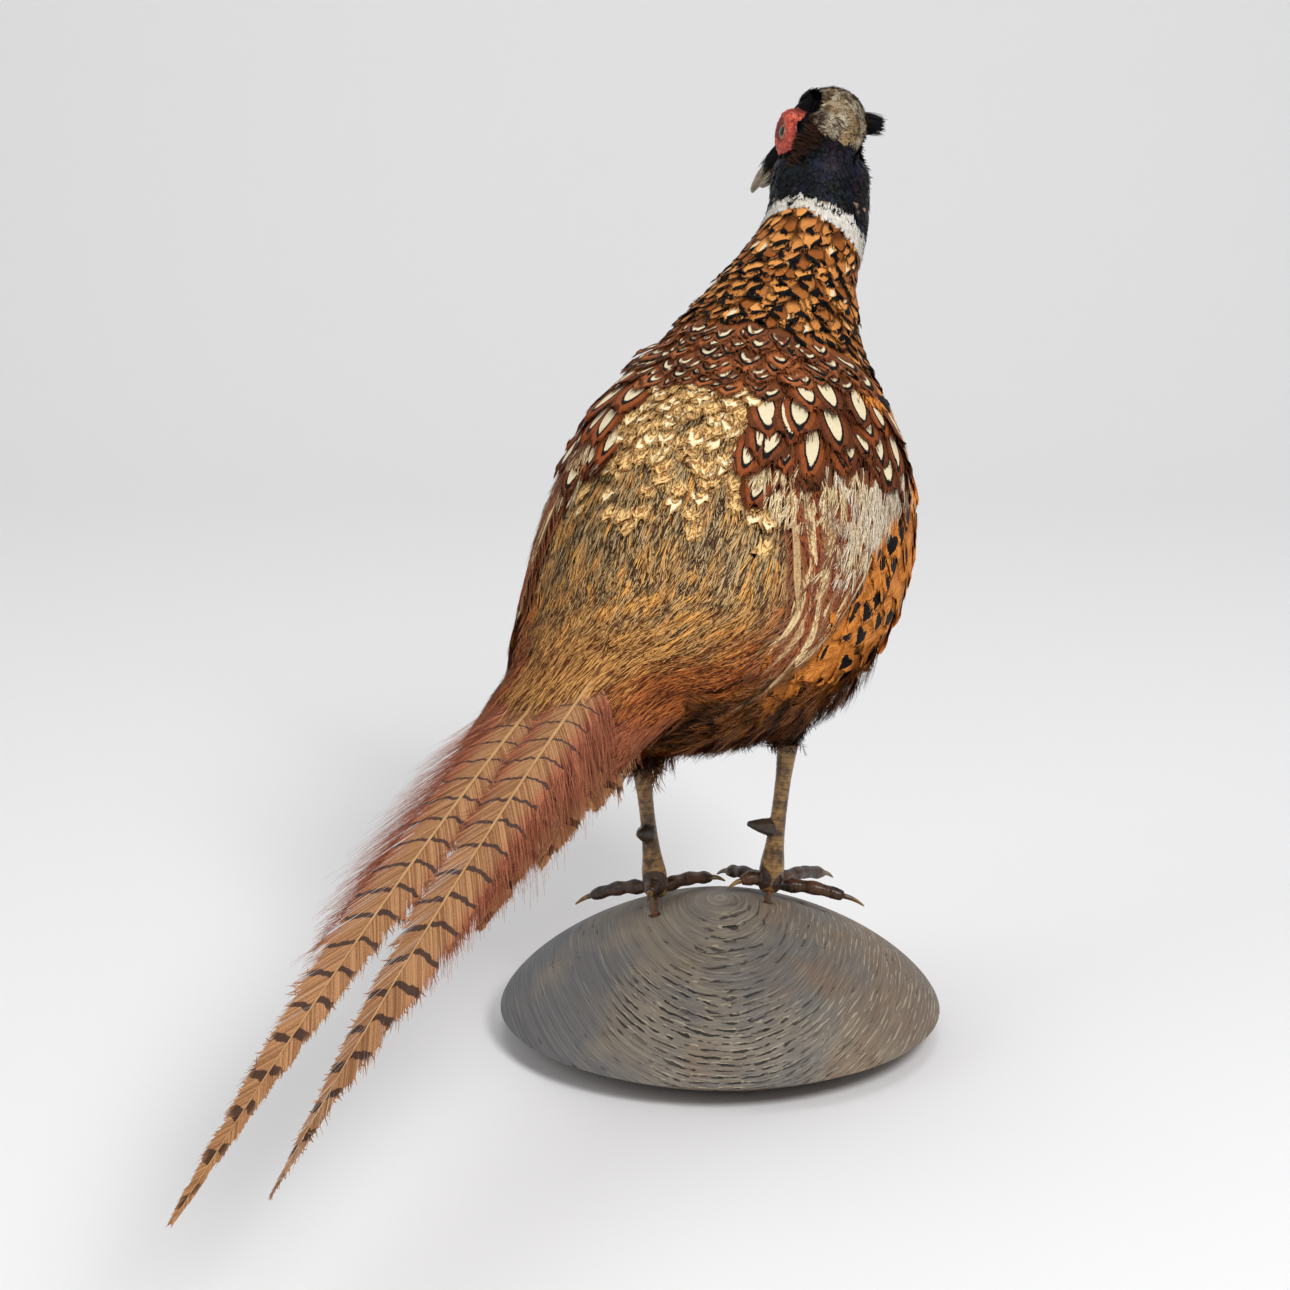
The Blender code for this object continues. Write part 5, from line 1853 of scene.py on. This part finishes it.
def leg_mesh(name, shank, spur, toes):
    """Shank, spur and toes of one leg joined into one scaly surface."""
    heel = np.mean(line_of(shank), axis=0)
    tip = max(line_of(spur), key=lambda end: np.hypot(*(end - heel)[:2]))
    solids = gathered([shank, spur] + toes, name, LEG_SWELL, {spur: tip})
    mesh = remeshed(solids, LEG_VOXEL, 3)
    scale_leg(mesh, line_of(shank), [line_of(toe) for toe in toes], line_of(spur))
    return mesh


def make_legs():
    scales, horn, wire = leg_look(), claw_look(), wire_look()
    for side_name, _ in SIDES:
        shank, spur = "tarsus_" + side_name, "spur_" + side_name
        toes = ["toe_%s_%s" % (toe, side_name) for toe in TOES]
        name = "leg_" + side_name
        piece(leg_mesh(name, shank, spur, toes), name, scales, "leg_scale", [shank, spur] + toes)
        claws = ["claw_%s_%s" % (toe, side_name) for toe in TOES]
        name = "claws_" + side_name
        piece(rounded(claws, name, 2, HORN_SWELL), name, horn, "horn", claws)
        rod = NODES["mount_wire_" + side_name]
        rod.data.materials.clear()
        rod.data.materials.append(wire)


def on_vent(points, normals):
    """The under side from the thighs to the tail's root, without its outer left edge."""
    below = (normals[:, 2] < -0.35) & (points[:, 0] < VENT_LEFT)
    return below & (points[:, 1] > VENT_SPAN[0]) & (points[:, 1] < VENT_SPAN[1])


def make_vent_coat(skin, tree):
    """Loose hair that hangs below the body between and behind the legs."""
    coat = Coat("coat_vent", feather_look("vent_feathers", paint_vent))
    points, normals = skin_roots(skin, on_vent, 0.16)
    flows = np.tile((0.0, 18.0, -7.0), (len(points), 1)) + rng.normal(0, 3, (len(points), 3))
    bed = FreeBed(tree, points, normals, flows, trunk_chart, 14, cling=0.35, roundness=30)
    lay_hairs(coat, bed, 34.0, 9.0, lifts=(0.5, 10.5), barbs=8, thick=0.45, stray=0.45, leave=0.5)
    coat.finish()


def trunk_chart(points):
    """Place on a plan of the trunk."""
    return np.stack([(points[:, 0] + 110) / 220, (points[:, 1] + 130) / 600], -1)


def thigh_test(hip, hock):
    """Whether a corner of the skin lies on the lower part of a thigh."""
    way = hock - hip

    def on_thigh(points, normals):
        share = (points - hip) @ way / (way @ way)
        away = np.linalg.norm(points - hip - share[:, None] * way, axis=1)
        return (share > THIGH_START) & (away < np.interp(share, (THIGH_START, 1), THIGH_REACH))
    return on_thigh


def make_thigh_coat(skin, tree):
    """Dark and rufous hair down each thigh and over the top of the shank."""
    coat = Coat("coat_thighs", feather_look("thigh_feathers", paint_belly))
    for side_name, _ in SIDES:
        hip, hock = line_of("thigh_" + side_name)
        points, normals = skin_roots(skin, thigh_test(hip, hock), 0.75)
        flows = np.tile(hock - hip, (len(points), 1)) + np.array([0, 0, -14.0])
        bed = FreeBed(tree, points, normals, flows, trunk_chart, 14, cling=0.25, roundness=12)
        lay_hairs(coat, bed, 19.0, 6.5, lifts=(0.2, 1.0), barbs=8, thick=0.42, stray=0.4)
    coat.finish()


# The dome -------------------------------------------------------------------------------------

def dome_height(radius):
    slope = np.maximum(1 - (radius / DOME_RADIUS) ** DOME_ROUNDNESS, 0)
    return DOME_RIM_HEIGHT + DOME_RISE * slope ** DOME_FULLNESS


def wood_stains_and_shade(look, across, height, broad):
    """Grey wood with patchy stains, and painted shade that makes it bluer and darker low down on
    one side; browner on the other and at the rim.
    """
    tone = look.fade(broad, 0.36, 0.62, (106, 102, 98), (132, 120, 104))
    # painted shade: patchy stain pushed bluer and darker low down and towards the camera's left,
    # away from the key lamp
    blue = look.step(look.noise(look.place(), 24.0, 3.0) + across * 5.0 - height * 4.0, 0.42, 0.8)
    tone = look.mix(blue * 0.75, tone, (84, 88, 96))
    brown = look.step(look.noise(look.place(), 30.0, 3.0) - across * 3.0, 0.52, 0.8)
    return look.mix(brown * 0.55, tone, (122, 94, 68))


def wood_splits_and_highlights(look, heart, across, toward, wave):
    """Short dark splits along the rings in the middle, and painted highlights on the lips beside
    them, more of them on the right.
    """
    count = heart * (1000.0 / FINE_PITCH) + wave * 3.0
    mark = abs(look.math("FRACT", count) - 0.5)
    lip = abs(look.math("FRACT", count + 0.26) - 0.5)
    dash = look.noise(look.vector(heart * 800.0, across * 200.0, toward * 100.0), 1.0, 1.5)
    worn = look.noise(look.place(), 17.0, 2.0)
    here = look.step(worn - abs(across + 0.006) * 5.0 + toward * 2.0, 0.42, 0.62)
    # the painted lip highlights also spread over the right side, where the key lamp stands
    right = look.step(worn - across * 4.0, 0.52, 0.7)
    groove = (dash - 0.46) * 1.1
    split = look.step(mark - groove, 0.04, -0.06) * here
    # painted highlight on the lips beside the splits
    pale = look.step(lip - groove, 0.02, -0.06) * look.math("MAXIMUM", here, right)
    return split, pale


def wood_look():
    """Weathered wood: fine rings, stains, dark open grain, painted shade and painted highlights.
    Its lengths are metres.
    """
    look = Look("weathered_wood", roughness=0.62)
    x, y, z = look.parts(look.place())
    across = x * GRAIN_ACROSS[0] + y * GRAIN_ACROSS[1]
    toward = y * GRAIN_ACROSS[0] - x * GRAIN_ACROSS[1]
    down = HEART_HEIGHT * MM - z
    heart = (across * across + down * down) ** 0.5
    wave = look.noise(look.place(), 22.0, 2.0)
    broad = look.noise(look.place(), 16.0, 4.0)
    fine = look.noise(look.vector(heart * 2600.0, (x + y) * 60.0, wave * 3.0), 1.0, 3.0)
    pores = look.noise(look.vector(heart * 1100.0, across * 160.0, y * 60.0), 1.0, 2.0)
    tone = wood_stains_and_shade(look, across, z, broad)
    tone = look.mix(look.step(fine, 0.5, 0.72) * 0.36, tone, (180, 172, 154))
    tone = look.mix(look.step(fine, 0.46, 0.28) * 0.45, tone, (58, 53, 49))
    rim = look.step(z + (broad - 0.5) * 0.02, 0.012, 0.003)
    tone = look.mix(rim * 0.7, tone, (98, 66, 42))
    cut = look.node("Attribute", output=2, attribute_name="Groove")
    tone = look.mix(look.step(cut, 0.45, 0.8) * 0.8, tone, (40, 36, 33))
    split, pale = wood_splits_and_highlights(look, heart, across, toward, wave)
    # painted highlight on the lips beside the splits
    tone = look.mix(pale * 0.6, tone, (190, 178, 154))
    tone = look.mix(split * 0.94, tone, (26, 23, 21))
    look.colour(look.mix(look.step(pores, 0.66, 0.74) * 0.5, tone, (50, 46, 42)))
    look.bump(fine * 0.25 - split * 0.6 + pale * 0.15, 1.8)
    return look.made


def dome_profile():
    """Radius and height from the foot, round the rim and up to the top."""
    edge = np.linspace(0, 1, DOME_EDGE_RINGS)
    top = DOME_RADIUS * np.cos(np.linspace(0, math.pi / 2, DOME_RINGS + 1)[1:])
    radius = DOME_FOOT_RADIUS + (DOME_RADIUS - DOME_FOOT_RADIUS) * edge
    height = DOME_RIM_HEIGHT * edge ** DOME_UNDERCUT
    return np.concatenate([radius, top]), np.concatenate([height, dome_height(top)])


def turned(radius, height, turns):
    """A profile turned round the upright line."""
    return np.stack([radius[:, None] * np.cos(turns), radius[:, None] * np.sin(turns),
                     height[:, None] + 0 * turns], -1).reshape(-1, 3)


def between(value):
    return min(max(value, 0.0), 1.0)


def open_grain(points):
    """How deep the grain is worn out at each point, 1 at most, with a hole round each wire."""
    across = points[:, 0] * GRAIN_ACROSS[0] + points[:, 1] * GRAIN_ACROSS[1]
    along = points[:, 1] * GRAIN_ACROSS[0] - points[:, 0] * GRAIN_ACROSS[1]
    heart = np.hypot(across, HEART_HEIGHT - points[:, 2])
    count = heart / GRAIN_PITCH
    groove = np.zeros(len(points))
    for i, place in enumerate(points):
        wave = noise.noise(Vector(place / 26.0))
        mark = (count[i] + 0.8 * wave) % 1.0
        dash = noise.noise(Vector((heart[i] * 0.9, across[i] * 0.16, along[i] * 0.08)))
        patch = noise.noise(Vector(place / 34.0) + Vector((7.0, 0, 0)))
        middle = math.exp(-((across[i] + 6.0) / 36.0) ** 2) * between(along[i] / 40.0)
        share = between((dash + patch * 0.4 + middle * 0.42 - 0.3) * 5.0)
        groove[i] = share * max(1 - abs(mark - 0.5) * 4.0, 0.0)
    groove[points[:, 2] < 2.0] = 0
    for x, y in WIRE_HOLES:
        away = np.hypot(points[:, 0] - x, points[:, 1] - y)
        groove = np.maximum(groove, np.clip((WIRE_HOLE_RADIUS - away) / WIRE_HOLE_SLOPE, 0, 1))
    return groove


def make_dome():
    """The turned dome with the open grain cut into it."""
    radius, height = dome_profile()
    turns = np.linspace(0, math.tau, DOME_SEGMENTS + 1)
    points = turned(radius, height, turns)
    slope = unit(np.stack([np.gradient(height), -np.gradient(radius)], -1))
    groove = open_grain(points)
    points = points - turned(slope[:, 0], slope[:, 1], turns) * (GROOVE_DEPTH * groove)[:, None]
    mesh = new_mesh("wooden_dome", points, grid_faces(len(radius) - 1, DOME_SEGMENTS))
    keep_values(mesh, "Groove", groove)
    piece(mesh, "wooden_dome", wood_look(), "weathered_wood", ["base_dome"])


# Stage ----------------------------------------------------------------------------------------

def plain_look(name, colour, roughness=0.6):
    look = Look(name, roughness=roughness)
    look.colour(linear(*colour))
    return look.made


def area_light(name, place, size, power):
    lamp = linked(name, bpy.data.lights.new(name, "AREA"))
    lamp.data.size = size
    lamp.data.energy = power
    lamp.location = place
    lamp.rotation_euler = (LAMP_AIM - Vector(place)).to_track_quat("-Z", "Y").to_euler()


def make_camera():
    camera = linked("camera", bpy.data.cameras.new("camera"))
    camera.data.lens = LENS
    camera.location = CAMERA_PLACE
    heading = AWAY.normalized() * math.cos(CAMERA_DOWN)
    heading.z = -math.sin(CAMERA_DOWN)
    camera.rotation_euler = heading.to_track_quat("-Z", "Y").to_euler()
    bpy.context.scene.camera = camera


def floor_profile():
    """Reach and height of the floor, which bends up behind the model."""
    turns = np.linspace(0, math.pi / 2, 13)[1:]
    bend = [(BEND_START + BEND_RADIUS * math.sin(turn), BEND_RADIUS * (1 - math.cos(turn)))
            for turn in turns]
    return [(-3.0, 0.0), (BEND_START, 0.0)] + bend + [(BEND_START + BEND_RADIUS, 3.0)]


def make_floor():
    across = Vector((AWAY.y, -AWAY.x, 0))
    profile = floor_profile()
    points = [np.array(AWAY * reach + across * side + Vector((0, 0, height))) / MM
              for reach, height in profile for side in (-4, 4)]
    mesh = new_mesh("floor", points, grid_faces(len(profile) - 1, 1))
    mesh.shade_smooth()
    mesh.materials.append(plain_look("floor_paper", (236, 236, 237), 0.9))
    floor = linked("floor", mesh)
    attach(floor, "root")


def make_stage():
    """A pale floor that curves up into a backdrop, soft lamps and the camera."""
    make_camera()
    make_floor()
    for name, place, size, power in LAMPS:
        area_light(name, place, size, power)
    world = bpy.data.worlds.new("studio")
    world.use_nodes = True
    sky = world.node_tree.nodes["Background"].inputs
    sky["Color"].default_value = (1, 1, 1, 1)
    sky["Strength"].default_value = SKY_STRENGTH
    bpy.context.scene.world = world
    bpy.context.scene.view_settings.view_transform = "Standard"


BODY_COATS = (coat_neck, coat_collar, coat_copper, coat_mantle, coat_scapulars, coat_wings,
              coat_coverts, coat_flanks, coat_belly, coat_back)


def main():
    skin, tree = make_skin()
    body = body_form(tree)
    finish_skin(skin, body)
    for lay_coat in BODY_COATS:
        lay_coat(body)
    make_tail(tree)
    make_tail_coverts(body)
    make_head_coat(skin, tree)
    make_ear_tufts()
    make_cheeks(tree)
    make_throat()
    make_face(tree)
    make_legs()
    make_thigh_coat(skin, tree)
    make_vent_coat(skin, tree)
    make_dome()
    make_stage()


main()
